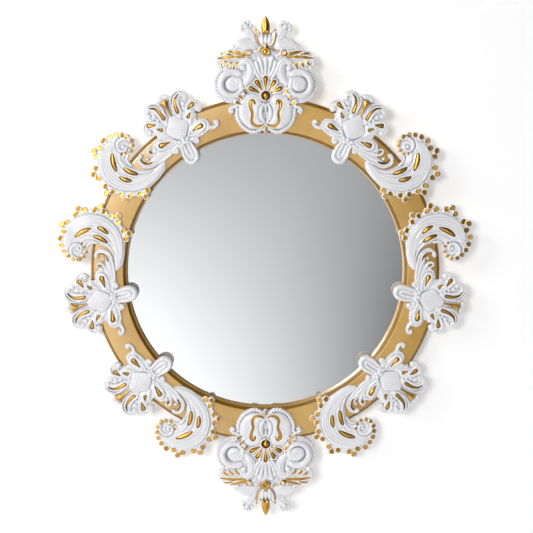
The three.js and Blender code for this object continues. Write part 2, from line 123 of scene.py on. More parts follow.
def smooth(points: Sequence[Point], closed: bool = False, steps: int = 8) -> list[Point]:
    """Returns a Catmull-Rom line through a few points.

    Args:
        points: The points that it passes through.
        closed: Whether it returns to its first point.
        steps: Number of stretches between two of them.

    Returns:
        The finer points. A closed line doesn't repeat its first one.
    """
    given = np.asarray(points, float)
    count = len(given)
    if closed:
        padded = np.vstack([given[-1], given, given[0], given[1]])
    else:
        padded = np.vstack([2 * given[0] - given[1], given, 2 * given[-1] - given[-2]])
        count -= 1
    t = np.linspace(0, 1, steps, endpoint=False)[:, None]
    line = []
    for i in range(count):
        a, b, c, d = padded[i : i + 4]
        cubic = 2 * b + (c - a) * t + (2 * a - 5 * b + 4 * c - d) * t**2 + (3 * b - a - 3 * c + d) * t**3
        line.extend(cubic / 2)
    if not closed:
        line.append(given[-1])
    return [(float(x), float(y)) for x, y in line]


def spiral(centre: Point, reach: Point, angles: Point, steps: int = 40) -> list[Point]:
    """Returns points along a spiral.

    Args:
        centre: Its eye.
        reach: First and last distance from the eye.
        angles: First and last angle, in degrees.
        steps: Number of stretches.

    Returns:
        The points, both ends among them.
    """
    share = np.linspace(0, 1, steps + 1)
    reaches = reach[0] * (reach[1] / reach[0]) ** share
    turns = angles[0] + (angles[1] - angles[0]) * share
    return [polar(centre, r, a) for r, a in zip(reaches, turns)]


def mirrored(half: list[Point]) -> list[Point]:
    """Returns an outline that is like on both sides, from its right half."""
    return half + [(-x, y) for x, y in reversed(half) if x]


def evenly(values: Length | Sequence[float]) -> Length:
    """Returns a length along a line, for t from 0 to 1, that runs evenly through a few values."""
    return values if callable(values) else lambda t: np.interp(t, np.linspace(0, 1, len(values)), values)


def lens(width: float, least: float) -> Length:
    """Returns a width that swells from both ends of a line to its middle, and its least share."""
    return lambda t: width * np.sqrt(np.clip(4 * t * (1 - t), least, 1))


# --- the relief


class Section(Enum):
    """What a raised line looks like where it is cut across."""

    ROUND = "a half round"
    RIDGE = "two slopes that meet in a soft edge"


@dataclass
class Relief:
    """A height field that is drawn form by form, in millimetres above the ring's face.

    Attributes:
        pitch: Distance between two points of the grid.
        low: Lower left corner of the drawing.
        high: Upper right corner of the drawing.
        blend: Height over which two forms run into each other, as the glaze does.
        far: How far outside every form an empty place counts as.
        soft: Width over which a form's gilding begins.
        side: 1 while the right half is drawn and -1 while the left one is.
    """

    pitch: float
    low: Point = (-100, -100)
    high: Point = (100, 100)
    blend: float = 1.3
    far: float = -20.0
    soft: float = 0.45
    side: int = 1
    x: Grid = field(init=False)
    y: Grid = field(init=False)
    height: Grid = field(init=False)
    reach: Grid = field(init=False)
    gilt: Grid = field(init=False)

    def __post_init__(self) -> None:
        """Makes the empty grid."""
        across = np.arange(self.low[0], self.high[0] + self.pitch, self.pitch)
        up = np.arange(self.low[1], self.high[1] + self.pitch, self.pitch)
        self.x, self.y = np.meshgrid(across, up)
        self.height = np.zeros_like(self.x)
        self.reach = np.full_like(self.x, self.far)
        self.gilt = np.zeros_like(self.x)

    def forms(self) -> None:
        """Draws the forms. Each ornament says which."""
        raise NotImplementedError

    def drawn(self) -> Relief:
        """Returns the relief with every form on it, softened as by its glaze."""
        self.forms()
        self.soften(2)
        return self

    def sides(self) -> Iterator[int]:
        """Gives 1 and then -1, and has flip and curve work on the right half and then on the left."""
        for self.side in (1, -1):
            yield self.side
        self.side = 1

    def on_both_sides(self, *forms: Callable[[], None]) -> None:
        """Draws each form on the right and then on the left."""
        for form in forms:
            for _ in self.sides():
                form()

    def flip(self, line: Sequence[Point]) -> list[Point]:
        """Returns a line of the right half on the side that is drawn."""
        return [(self.side * x, y) for x, y in line]

    def curve(self, points: Sequence[Point], closed: bool = False) -> list[Point]:
        """Returns a smooth line through points of the right half, on the side that is drawn."""
        return smooth(self.flip(points), closed)

    def window(self, points: Sequence[Point], margin: float) -> tuple[slice, slice]:
        """Returns the part of the grid that lies round some points."""
        near = np.asarray(points, float)
        first = (near.min(axis=0) - margin - np.array(self.low)) / self.pitch
        last = (near.max(axis=0) + margin - np.array(self.low)) / self.pitch
        c0, r0 = (max(0, int(v)) for v in first)
        c1, r1 = (max(0, int(v) + 2) for v in last)
        return slice(r0, r1), slice(c0, c1)

    def away(self, part: tuple[slice, slice], line: Sequence[Point]) -> tuple[Grid, Grid]:
        """Measures from the grid to a line.

        Args:
            part: The window of the grid.
            line: The line's points.

        Returns:
            The distance to the line, and how far along it the nearest place lies, from 0 to 1.
        """
        x, y = self.x[part], self.y[part]
        points = np.asarray(line, float)
        spans = np.hypot(*np.diff(points, axis=0).T)
        ends = np.concatenate([[0.0], np.cumsum(spans)])
        best = np.full_like(x, np.inf)
        along = np.zeros_like(x)
        for (ax, ay), (bx, by), span, start in zip(points, points[1:], spans, ends):
            if span == 0:
                continue
            share = ((x - ax) * (bx - ax) + (y - ay) * (by - ay)) / span**2
            share = np.clip(share, 0, 1)
            distance = np.hypot(x - ax - share * (bx - ax), y - ay - share * (by - ay))
            nearer = distance < best
            best = np.where(nearer, distance, best)
            along = np.where(nearer, start + share * span, along)
        return best, along / ends[-1]

    def within(self, part: tuple[slice, slice], outline: Sequence[Point]) -> Grid:
        """Returns how far inside a closed outline each point of the window lies."""
        x, y = self.x[part], self.y[part]
        points = list(outline)
        distance, _ = self.away(part, points + points[:1])
        inside = np.zeros(x.shape, bool)
        for (ax, ay), (bx, by) in zip(points, points[1:] + points[:1]):
            if ay == by:
                continue
            crosses = (ay > y) != (by > y)
            inside ^= crosses & (x < ax + (y - ay) * (bx - ax) / (by - ay))
        return np.where(inside, distance, -distance)

    def lay(self, part: tuple[slice, slice], reach: Grid, height: Grid, gilt: float = 0.0) -> None:
        """Adds a form to the relief.

        Args:
            part: The window of the grid.
            reach: How far inside the form's outline each point lies.
            height: The form's own height there.
            gilt: 1 where the form is gilded and 0 where it is white.
        """
        old = self.height[part].copy()
        new = np.where(reach > 0, height, 0.0)
        gap = np.abs(old - new)
        fillet = np.clip(self.blend - gap, 0, None) ** 2 / (4 * self.blend)
        shared = (reach > 0) & (self.reach[part] > 0)
        self.height[part] = np.maximum(old, new) + np.where(shared, fillet, 0.0)
        over = np.clip((new - old) / self.soft + 0.5, 0, 1) * np.clip(reach / self.soft, 0, 1)
        self.gilt[part] += (gilt - self.gilt[part]) * over
        self.reach[part] = np.maximum(self.reach[part], reach)

    def plate(self, outline: Sequence[Point], top: float, edge: float = 2.0, gilt: float = 0.0) -> None:
        """Adds a plate with a rounded edge.

        Args:
            outline: Its closed outline.
            top: Height of its flat.
            edge: Radius of its edge. A wide one makes a cushion.
            gilt: 1 where it is gilded.
        """
        part = self.window(outline, 2.0)
        reach = self.within(part, outline)
        lean = 1 - np.clip(reach / edge, 0, 1)
        drop = min(edge, top - 1.5)
        self.lay(part, reach, top - drop * (1 - np.sqrt(1 - lean**2)), gilt)

    def stroke(
        self,
        line: Sequence[Point],
        width: Length | Sequence[float],
        top: Length | Sequence[float],
        foot: float = 2.0,
        section: Section = Section.ROUND,
        gilt: float = 0.0,
    ) -> None:
        """Adds a raised line.

        Args:
            line: The points of its middle.
            width: Its whole width along the line.
            top: Its height along the line.
            foot: Height of its edges.
            section: Its shape across.
            gilt: 1 where it is gilded.
        """
        width, top = evenly(width), evenly(top)
        part = self.window(line, float(np.max(width(np.linspace(0, 1, 33)))) / 2 + 2.0)
        distance, along = self.away(part, line)
        half = width(along) / 2
        share = np.clip(distance / np.maximum(half, 0.05), 0, 1)
        shape = 1 - share**1.4 if section is Section.RIDGE else np.sqrt(1 - share**2)
        self.lay(part, half - distance, foot + (top(along) - foot) * shape, gilt)

    def bead(self, centre: Point, radius: float, top: float, foot: float = 2.0, gilt: float = 0.0) -> None:
        """Adds a round bead."""
        part = self.window([centre], radius + 2.0)
        distance = np.hypot(self.x[part] - centre[0], self.y[part] - centre[1])
        shape = np.sqrt(1 - np.clip(distance / radius, 0, 1) ** 2)
        self.lay(part, radius - distance, foot + (top - foot) * shape, gilt)

    def drop_reach(self, part: tuple[slice, slice], fat: Point, thin: Point, width: float) -> Grid:
        """Returns how far inside a drop each point lies: its round end is at fat, its point at thin."""
        radius = width / 2
        length = math.dist(fat, thin)
        ax, ay = (thin[0] - fat[0]) / length, (thin[1] - fat[1]) / length
        dx, dy = self.x[part] - fat[0], self.y[part] - fat[1]
        along = (dx * ax + dy * ay) / length
        across = np.abs(dy * ax - dx * ay)
        taper = np.clip(1 - np.clip(along, 0, 1) ** 1.25, 0, 1)
        side = np.where(along < 0, radius - np.hypot(dx, dy), radius * taper - across)
        return np.where(along > 1, -np.hypot(dx - ax * length, dy - ay * length), side)

    def drop(
        self, fat: Point, thin: Point, width: float, top: float, foot: float = 2.0, gilt: float = 0.0
    ) -> None:
        """Adds a raised drop."""
        part = self.window([fat, thin], width)
        reach = self.drop_reach(part, fat, thin, width)
        shape = np.sqrt(1 - (1 - np.clip(2 * reach / width, 0, 1)) ** 2)
        self.lay(part, reach, foot + (top - foot) * shape, gilt)

    def sink(
        self, part: tuple[slice, slice], reach: Grid, depth: float, rim: float = 0.0, swell: float = 0.0
    ) -> None:
        """Sinks a gilded hollow with rounded walls.

        Args:
            part: The window of the grid.
            reach: How far inside the hollow's outline each point lies.
            depth: Its depth.
            rim: Height of the soft rim that stands round it.
            swell: How far its floor swells up again in the middle.
        """
        wall = min(depth, 1.4)
        share = np.clip(reach / wall, 0, 1)
        deepest = max(float(np.max(reach)), wall + 0.1)
        inner = np.clip((reach - 0.6 * wall) / (deepest - 0.6 * wall), 0, 1)
        floor = self.height[part] - depth * np.sqrt(1 - (1 - share) ** 2)
        floor = floor + swell * np.sqrt(1 - (1 - inner) ** 2)
        stands = np.exp(-(((reach + 1.2) / 1.3) ** 2)) * rim * (self.reach[part] > 0.8)
        self.height[part] = np.where(reach > 0, floor, self.height[part]) + stands
        cover = np.clip((reach + 0.35) / self.soft, 0, 1)
        self.gilt[part] += (1.0 - self.gilt[part]) * cover

    def sink_drop(
        self, fat: Point, thin: Point, width: float, depth: float, rim: float = 0.8, swell: float = 0.0
    ) -> None:
        """Sinks a gilded drop."""
        part = self.window([fat, thin], width + 3)
        self.sink(part, self.drop_reach(part, fat, thin, width), depth, rim, swell)

    def sink_line(
        self, line: Sequence[Point], width: Length | Sequence[float], depth: float,
        rim: float = 0.8, swell: float = 0.0,
    ) -> None:
        """Sinks a gilded hollow along a line."""
        width = evenly(width)
        part = self.window(line, float(np.max(width(np.linspace(0, 1, 17)))) + 3)
        distance, along = self.away(part, line)
        self.sink(part, width(along) / 2 - distance, depth, rim, swell)

    def groove(self, line: Sequence[Point], width: float, depth: float) -> None:
        """Cuts a soft groove along a line, as a modelling tool does."""
        part = self.window(line, 2 * width)
        distance, along = self.away(part, line)
        fade = np.clip(5 * np.minimum(along, 1 - along), 0, 1)
        self.height[part] -= depth * fade * np.exp(-((2 * distance / width) ** 2))

    def pearls(self, line: Sequence[Point], pitch: float, radius: float, top: float) -> None:
        """Adds a row of beads along a line, which scallops the edge that it follows.

        Args:
            line: The line of their middles.
            pitch: Distance from one to the next.
            radius: Their radius.
            top: Their height.
        """
        points = np.asarray(line, float)
        ends = np.concatenate([[0.0], np.cumsum(np.hypot(*np.diff(points, axis=0).T))])
        count = max(2, round(ends[-1] / pitch) + 1)
        for place in np.linspace(0, ends[-1], count):
            centre = (np.interp(place, ends, points[:, 0]), np.interp(place, ends, points[:, 1]))
            self.bead(centre, radius, top)

    def hatch(self, outline: Sequence[Point], pitch: float, depth: float) -> None:
        """Cuts a diagonal lattice of fine lines inside an outline.

        Args:
            outline: The closed outline that it fills.
            pitch: Distance between two lines.
            depth: Their depth.
        """
        part = self.window(outline, 0.0)
        reach = self.within(part, outline)
        x, y = self.x[part], self.y[part]
        turn = 2 * math.pi / (pitch * math.sqrt(2))
        lattice = np.maximum(np.cos(turn * (x + y)), np.cos(turn * (x - y)))
        self.height[part] -= depth * np.clip(lattice - 0.55, 0, 1) / 0.45 * np.clip(reach / 1.5, 0, 1)

    def soften(self, times: int = 1) -> None:
        """Softens the relief as a layer of glaze does."""
        inside = self.reach > -self.pitch
        for _ in range(times):
            for values in (self.height, self.gilt):
                known = np.where(inside, values, 0.0)
                total = blurred(known)
                weight = blurred(inside.astype(float))
                values[inside] = (total / np.maximum(weight, 1e-6))[inside]


def blurred(values: Grid) -> Grid:
    """Returns a grid smoothed by a small binomial kernel."""
    padded = np.pad(values, 1, mode="edge")
    rows = (padded[:-2] + 2 * padded[1:-1] + padded[2:]) / 4
    return (rows[:, :-2] + 2 * rows[:, 1:-1] + rows[:, 2:]) / 4


@dataclass
class Shell:
    """A closed shell in an ornament's own drawing, in millimetres."""

    points: Grid
    front: list[tuple[int, ...]]
    back: list[tuple[int, ...]]
    gilt: Grid
    # how deep each point lies in a crease, used for painted shade in the glaze
    hollow: Grid


class ShellMaker:
    """Turns a relief into a shell: the relief in front, a low wall round it and a flat back."""

    LAND = 1.8

    def __init__(self, relief: Relief) -> None:
        """Keeps the relief and picks the cells that the shell covers."""
        self.relief = relief
        inside = relief.reach > 0
        keep = inside[:-1, :-1] & inside[1:, :-1] & inside[:-1, 1:] & inside[1:, 1:]
        self.keep = self.joined(np.pad(keep, 1))
        self.index = self.numbered()

    @staticmethod
    def joined(keep: Grid) -> Grid:
        """Drops one of each two cells that meet in a corner only."""
        while True:
            a, b = keep[:-1, :-1], keep[:-1, 1:]
            c, d = keep[1:, :-1], keep[1:, 1:]
            falling = a & d & ~b & ~c
            rising = b & c & ~a & ~d
            if not (falling.any() or rising.any()):
                return keep[1:-1, 1:-1]
            d[falling] = False
            c[rising] = False

    def numbered(self) -> Grid:
        """Returns the number of each grid point that a kept cell uses, and -1 for the others."""
        used = np.zeros(self.relief.x.shape, bool)
        for r, c in ((0, 0), (0, 1), (1, 0), (1, 1)):
            rows, columns = self.keep.shape
            used[r : rows + r, c : columns + c] |= self.keep
        index = np.full(used.shape, -1)
        index[used] = np.arange(used.sum())
        return index

    def edges(self) -> list[tuple[int, int]]:
        """Returns the edges of the covered area, with the area on their left."""
        keep = np.pad(self.keep, 1)
        here = keep[1:-1, 1:-1]
        n = self.index
        sides = (
            (keep[:-2, 1:-1], n[:-1, :-1], n[:-1, 1:]),
            (keep[1:-1, 2:], n[:-1, 1:], n[1:, 1:]),
            (keep[2:, 1:-1], n[1:, 1:], n[1:, :-1]),
            (keep[1:-1, :-2], n[1:, :-1], n[:-1, :-1]),
        )
        found = []
        for beyond, start, end in sides:
            open_side = here & ~beyond
            found.extend(zip(start[open_side].tolist(), end[open_side].tolist()))
        return found

    def snapped(self, rim: Grid, share: float) -> tuple[Grid, Grid]:
        """Returns the places of the points, with those of the rim moved out towards the outline."""
        relief = self.relief
        rise, run = np.gradient(relief.reach, relief.pitch)
        used = self.index >= 0
        x, y, reach = relief.x[used].copy(), relief.y[used].copy(), relief.reach[used]
        slope = np.maximum(np.hypot(rise[used], run[used]), 0.2)
        step = share * np.clip(reach, 0, 1.5 * relief.pitch) / slope
        x[rim] -= (step * run[used] / slope)[rim]
        y[rim] -= (step * rise[used] / slope)[rim]
        return x, y

    @staticmethod
    def filled(points: Sequence[Point], edges: Sequence[tuple[int, int]]) -> list[tuple[int, ...]] | None:
        """Fills the area within some closed loops.

        Args:
            points: The loops' points.
            edges: The loops' edges.

        Returns:
            The triangles, or None where two of the edges cross.
        """
        made = delaunay_2d_cdt([Vector(p) for p in points], edges, [], 0, 1e-5)
        if len(made[0]) != len(points):
            return None
        source = [origin[0] for origin in made[3]]
        triangles = [tuple(source[i] for i in triangle) for triangle in made[2]]
        fences = {frozenset(edge) for edge in edges}
        beside: dict[frozenset, list[int]] = {}
        for number, (a, b, c) in enumerate(triangles):
            for edge in (frozenset((a, b)), frozenset((b, c)), frozenset((c, a))):
                beside.setdefault(edge, []).append(number)
        inside: dict[int, bool] = {}
        waiting = []
        for edge, near in beside.items():
            if len(near) == 1 and near[0] not in inside:
                inside[near[0]] = edge in fences
                waiting.append(near[0])
        while waiting:
            number = waiting.pop()
            a, b, c = triangles[number]
            for edge in (frozenset((a, b)), frozenset((b, c)), frozenset((c, a))):
                for other in beside[edge]:
                    if other not in inside:
                        inside[other] = inside[number] != (edge in fences)
                        waiting.append(other)
        return [triangle for number, triangle in enumerate(triangles) if inside[number]]

    def make(self) -> Shell:
        """Makes the shell."""
        relief = self.relief
        used = self.index >= 0
        edges = self.edges()
        rim_points = sorted({start for start, _ in edges})
        rim = np.zeros(int(used.sum()), bool)
        rim[rim_points] = True
        order = {point: number for number, point in enumerate(rim_points)}
        loops = [(order[a], order[b]) for a, b in edges]
        fill = None
        for share in (0.92, 0.6, 0.3, 0.0):
            x, y = self.snapped(rim, share)
            fill = self.filled([(x[i], y[i]) for i in rim_points], loops)
            if fill is not None:
                break
        # hollow: how far the relief lies below its blurred surroundings, which the glaze turns into painted
        # shade in creases and recesses
        wide = relief.height
        for _ in range(6):
            wide = blurred(wide)
        hollow = np.clip((wide - relief.height)[used] / 0.8 + 0.15, 0, 1)
        height = relief.height[used].copy()
        height[rim] = np.minimum(height[rim], self.LAND)
        top = np.column_stack([x, y, height])
        foot = top[rim_points] * (1, 1, 0)
        count = len(top)
        n = self.index
        cells = np.stack([n[:-1, :-1], n[:-1, 1:], n[1:, 1:], n[1:, :-1]], axis=-1)[self.keep]
        front = [tuple(cell) for cell in cells.tolist()]
        front += [(b, a, count + order[a], count + order[b]) for a, b in edges]
        flat = foot[:, :2]
        back = []
        for a, b, c in fill or []:
            (ux, uy), (vx, vy) = flat[b] - flat[a], flat[c] - flat[a]
            turned = ux * vy - uy * vx > 0
            back.append((count + a, count + c, count + b) if turned else (count + a, count + b, count + c))
        edge_marks = np.zeros(len(foot))
        return Shell(
            np.vstack([top, foot]),
            front,
            back,
            np.concatenate([relief.gilt[used], edge_marks]),
            np.concatenate([hollow, edge_marks]),
        )


# --- the three ornaments' drawings


@dataclass
class Palmette(Relief):
    """A quilted shield among curling leaves over a tongue, with a tendril towards its paisley."""

    low: Point = (-80, -76)
    high: Point = (100, 74)
    lobe: float = 7.0

    def forms(self) -> None:
        """Draws the whole palmette."""
        self.ground()
        self.on_both_sides(self.lower_lobe, self.small_leaf, self.big_leaf)
        self.tongue()
        self.shield()
        self.fan()
        self.tendril()
        self.free_curl()

    def ground(self) -> None:
        """Draws the low body that carries the forms."""
        half = [
            (0, 60), (12, 56), (20, 48), (34, 40), (42, 26), (43, 12), (41, 0), (44, -8), (40, -24),
            (22, -31), (12, -36),
        ]
        self.plate(smooth(mirrored(half), closed=True), 5.0, 2.8)

    def lower_lobe(self) -> None:
        """Draws a wing beside the boss, with a scalloped edge and a gilded drop."""
        outline = [
            (8, -24), (18, -10), (30, -5.5), (42, -4.5), (51, -7), (55, -14.5), (52.5, -23), (43, -28.5),
            (26, -30),
        ]
        self.plate(self.curve(outline, closed=True), self.lobe - 0.8, 4.0)
        edge = smooth([
            (44, -5), (52, -8), (55.5, -14.5), (53.5, -22), (46, -27.5), (36, -29.5), (26, -30), (17, -29)
        ])
        self.pearls(self.flip(edge), 5.2, 3.5, 6.3)
        collar = smooth([
            (38, -7), (46, -8.5), (49.5, -14.5), (46.5, -20.5), (38, -23.5), (24, -23.5), (13, -21.5)
        ])
        self.stroke(self.flip(collar), (3.4, 4.6, 5, 4.6, 3.4), (7.6, 8.2, 8.2, 8, 7.4), 4.5)
        self.groove(
            self.flip(smooth([(51, -9.5), (52.5, -15), (50, -21.5), (43.5, -25.6), (33, -27)])), 1.8, 0.9
        )
        fat, thin = self.flip([(41, -15), (21, -16.5)])
        self.drop(fat, thin, 15, self.lobe + 1.2, self.lobe - 1.5)
        self.sink_drop(fat, thin, 9.6, 3.0, 0.8, 1.7)

    def small_leaf(self) -> None:
        """Draws the leaf that rolls outwards beside the shield, with its two gilded drops."""
        spine = self.curve([(24, 2), (30, 14), (38, 24), (46.5, 26), (52.5, 23), (54.5, 17), (51, 13)])
        self.stroke(spine, (20, 27, 26, 21, 16, 12, 9), (6.4, 7.4, 7.8, 7.6, 7.2, 6.8, 6.2), 2.6)
        self.bead((self.side * 49.4, 16.2), 5.2, 7.6)
        rim = self.curve([(22, 20), (32, 29), (44, 35), (53, 32), (58, 25), (58.5, 17)])
        self.stroke(rim, (3, 3.8, 4, 3.6, 2.6), (8, 8.6, 8.6, 8, 6.4), 3.4)
        self.stroke(self.curve([(25, -3), (30, 4), (38, 9), (43, 8)]), (4, 7, 7, 4.6), (7, 7.8, 7.4, 6), 3)
        fat, thin = self.flip([(45, 27.4), (31, 22.8)])
        self.sink_drop(fat, thin, 8.6, 2.6, 0.8, 1.5)
        fat, thin = self.flip([(28, 10.5), (36, 17)])
        self.sink_drop(fat, thin, 6.8, 2.2, 0.8, 1.2)

    def big_leaf(self) -> None:
        """Draws the leaf that rolls out above the shield, with a gilded crescent along its middle."""
        spine = self.curve([(14, 18), (14.5, 34), (20, 47), (29, 54), (37, 52), (40, 45), (36.5, 40.5)])
        self.stroke(spine, (13, 17, 19, 17.5, 14, 11, 8.6), (7.8, 8.6, 8.8, 8.4, 7.8, 7.2, 6.4), 2.6)
        outer = self.curve([(9.4, 28), (8.6, 44), (13, 54.5), (23, 61), (33, 60.5), (41.5, 55), (44.5, 46.5)])
        self.stroke(outer, (3, 3.8, 3.8, 3.8, 3.4, 2.4), (9, 9.6, 9.4, 8.8, 7.6, 6), 3.4)
        inner = self.curve([(20.5, 22), (21.5, 37), (26.5, 46), (32, 47)])
        self.stroke(inner, (3, 3.8, 3.4, 2.6), (8.4, 9.2, 8.8, 7.6), 3.4)
        self.bead((self.side * 36.6, 43.2), 5.0, 8.4)
        self.groove(self.flip([(31, 46), (34.5, 40), (39.5, 39)]), 2.0, 1.4)
        self.bead((self.side * 30, 37), 5.2, 7.4)
        self.bead((self.side * 26, 29.5), 4.4, 7.6)
        crescent = self.curve([(30, 55.6), (22, 51.5), (16.8, 43), (14.8, 34), (14.2, 27)])
        self.sink_line(crescent, (1.6, 3.8, 5.2, 6.2, 6.8), 3.0, 0.7, 1.7)

    def tongue(self) -> None:
        """Draws the tongue below the boss, with its raised rim and a scroll on each side."""
        half = [(0, -73), (8, -71), (14, -64.5), (16, -54), (15, -44), (13, -34), (11, -26)]
        self.plate(smooth(mirrored(half), closed=True), 5.8, 3.4)
        rim = smooth([
            (-9.4, -31), (-11.2, -44), (-11.6, -55), (-8.4, -64), (0, -68), (8.4, -64), (11.6, -55),
            (11.2, -44), (9.4, -31),
        ])
        self.stroke(rim, (5.4, 6.8, 7.4, 6.8, 5.4), (7, 7.8, 8.4, 7.8, 7), 4)
        well = smooth([(-3.6, -34), (-4.4, -47), (-3.4, -56), (0, -59.5), (3.4, -56), (4.4, -47), (3.6, -34)])
        self.stroke(well, (3.4, 3.8, 4.2, 3.8, 3.4), (7.2, 7.2, 7.2, 7.2, 7.2), 4.5)
        self.groove([(0, -31), (0, -55)], 3.4, 1.4)
        for side in self.sides():
            line = self.curve([(12, -28), (18, -29.5), (23.5, -33), (23.5, -38), (19.5, -39.5)])
            self.stroke(line, (8, 8, 7.4, 6.4), (6.6, 7, 7, 6.6), 2.6)
            self.bead((side * 19.6, -36), 5.0, 7.6)
            self.groove(self.curve([(15.5, -33), (18.5, -32.4), (22, -35), (20.5, -38)]), 1.6, 0.9)

    def shield(self) -> None:
        """Draws the domed shield, the lattice on it and the boss below it."""
        half = [(0, 27), (7.5, 22), (15, 12), (22, 1), (16, -10), (8.5, -18.5), (0, -23)]
        outline = smooth(mirrored(half), closed=True)
        part = self.window(outline, 2.0)
        reach = self.within(part, outline)
        dome = 6.6 + 2.2 * np.sqrt(1 - (1 - np.clip(reach / 20, 0, 1)) ** 2)
        self.lay(part, reach, dome)
        self.hatch(outline, 3.8, 1.2)
        self.groove(outline + outline[:1], 1.6, 0.9)
        collar = smooth([(-17, -15), (-8.5, -26), (0, -29.5), (8.5, -26), (17, -15)])
        self.stroke(collar, (3.4, 4.6, 5.4, 4.6, 3.4), (8, 8.8, 9.2, 8.8, 8), 4)
        self.bead((0, -24), 5.0, 10.0, 5)
        for side in self.sides():
            self.bead((side * 8, -24.5), 4.0, 9.6, 5)
            self.bead((side * 5.6, -30.5), 3.4, 8.8, 4)

    def fan(self) -> None:
        """Draws the gilded tulip above the shield, with ruffled lace behind it."""
        for number, angle in enumerate((158, 124, 90, 56, 22)):
            centre = polar((0, 53.5), 9.4, angle)
            self.bead(centre, 6.0, 5.8 + 0.6 * (number % 2), 2.4)
            self.groove([polar((0, 54), 5, angle), polar((0, 54), 14, angle)], 1.8, 1.0)
        lace = [polar((0, 53.5), 13.6, angle) for angle in range(0, 181, 12)]
        self.pearls(lace, 3.3, 2.3, 5.0)
        self.stroke([(0, 24), (0, 38), (0, 48)], (3, 5, 8), (8.6, 8.8, 9), 5.5, gilt=1)
        flare = [
            (-3, 44), (-6, 50), (-12.8, 57), (-5.6, 55.4), (0, 58), (5.6, 55.4), (12.8, 57), (6, 50),
            (3, 44),
        ]
        self.plate(flare, 9.2, 2.4, gilt=1)
        for side in self.sides():
            self.groove([(side * 1.8, 38), (side * 2.8, 49), (side * 8.4, 56)], 2.0, 1.6)

    def tendril(self) -> None:
        """Draws the tendril that runs on from the wing and rolls up beside the paisley."""
        band = smooth([
            (22, -30), (38, -33), (54, -34.5), (68, -35.5), (79, -36.5), (87.5, -32), (91, -24),
            (88.5, -16.5),
        ])
        self.stroke(band, (12, 17, 18.5, 16, 14.5, 13, 10.5, 8), (5.4, 6.4, 7, 7.2, 7.4, 7.4, 7, 6.6), 2.4)
        ridge = smooth([
            (32, -37.5), (50, -41.5), (64, -41.8), (78, -42), (88, -37), (94, -26.5), (91, -16.5),
            (85, -12.5),
        ])
        self.stroke(ridge, (3, 3.8, 4.2, 4.6, 4.8, 4.6, 4, 3.4), (6.8, 7.4, 7.8, 8.2, 8.4, 8, 7.6, 7), 3)
        self.groove(smooth([(28, -30.5), (46, -31.5), (62, -31.5), (72, -30.5)]), 2.4, 1.2)
        self.groove(smooth([(34, -34.6), (50, -37), (66, -37.5), (76, -37.5)]), 2.0, 1.0)
        self.bead((84.6, -15), 4.8, 8.0)
        self.stroke(
            smooth([(50, -27), (60, -25), (67.5, -21.5), (70, -15.5), (66, -11.5), (62, -14)]),
            (8, 7.4, 6.6, 5.6, 5, 4.4), (6, 6.6, 7, 7, 6.6), 2.4,
        )
        self.bead((66, -17.2), 2.2, 6.2, 3, gilt=1)
        self.bead((58, -18), 4.2, 6.4)
        self.bead((76, -26), 3.6, 6.6)
        self.sink_line(
            smooth([(69, -35.2), (77, -34), (84, -29.5), (87.6, -21.5)]), (1.8, 4.2, 4.6, 2.4), 2.8,
            0.7, 1.0,
        )

    def free_curl(self) -> None:
        """Draws the small curl on the side away from the paisley."""
        line = smooth([(-50, -22), (-58, -27), (-66, -28), (-71.5, -24.5), (-72, -20)])
        self.stroke(line, (10, 8.6, 7.6, 7, 6), (5.8, 6.2, 6.6, 6.6, 6), 2.4)
        self.bead((-68.4, -20.4), 4.6, 7.2)


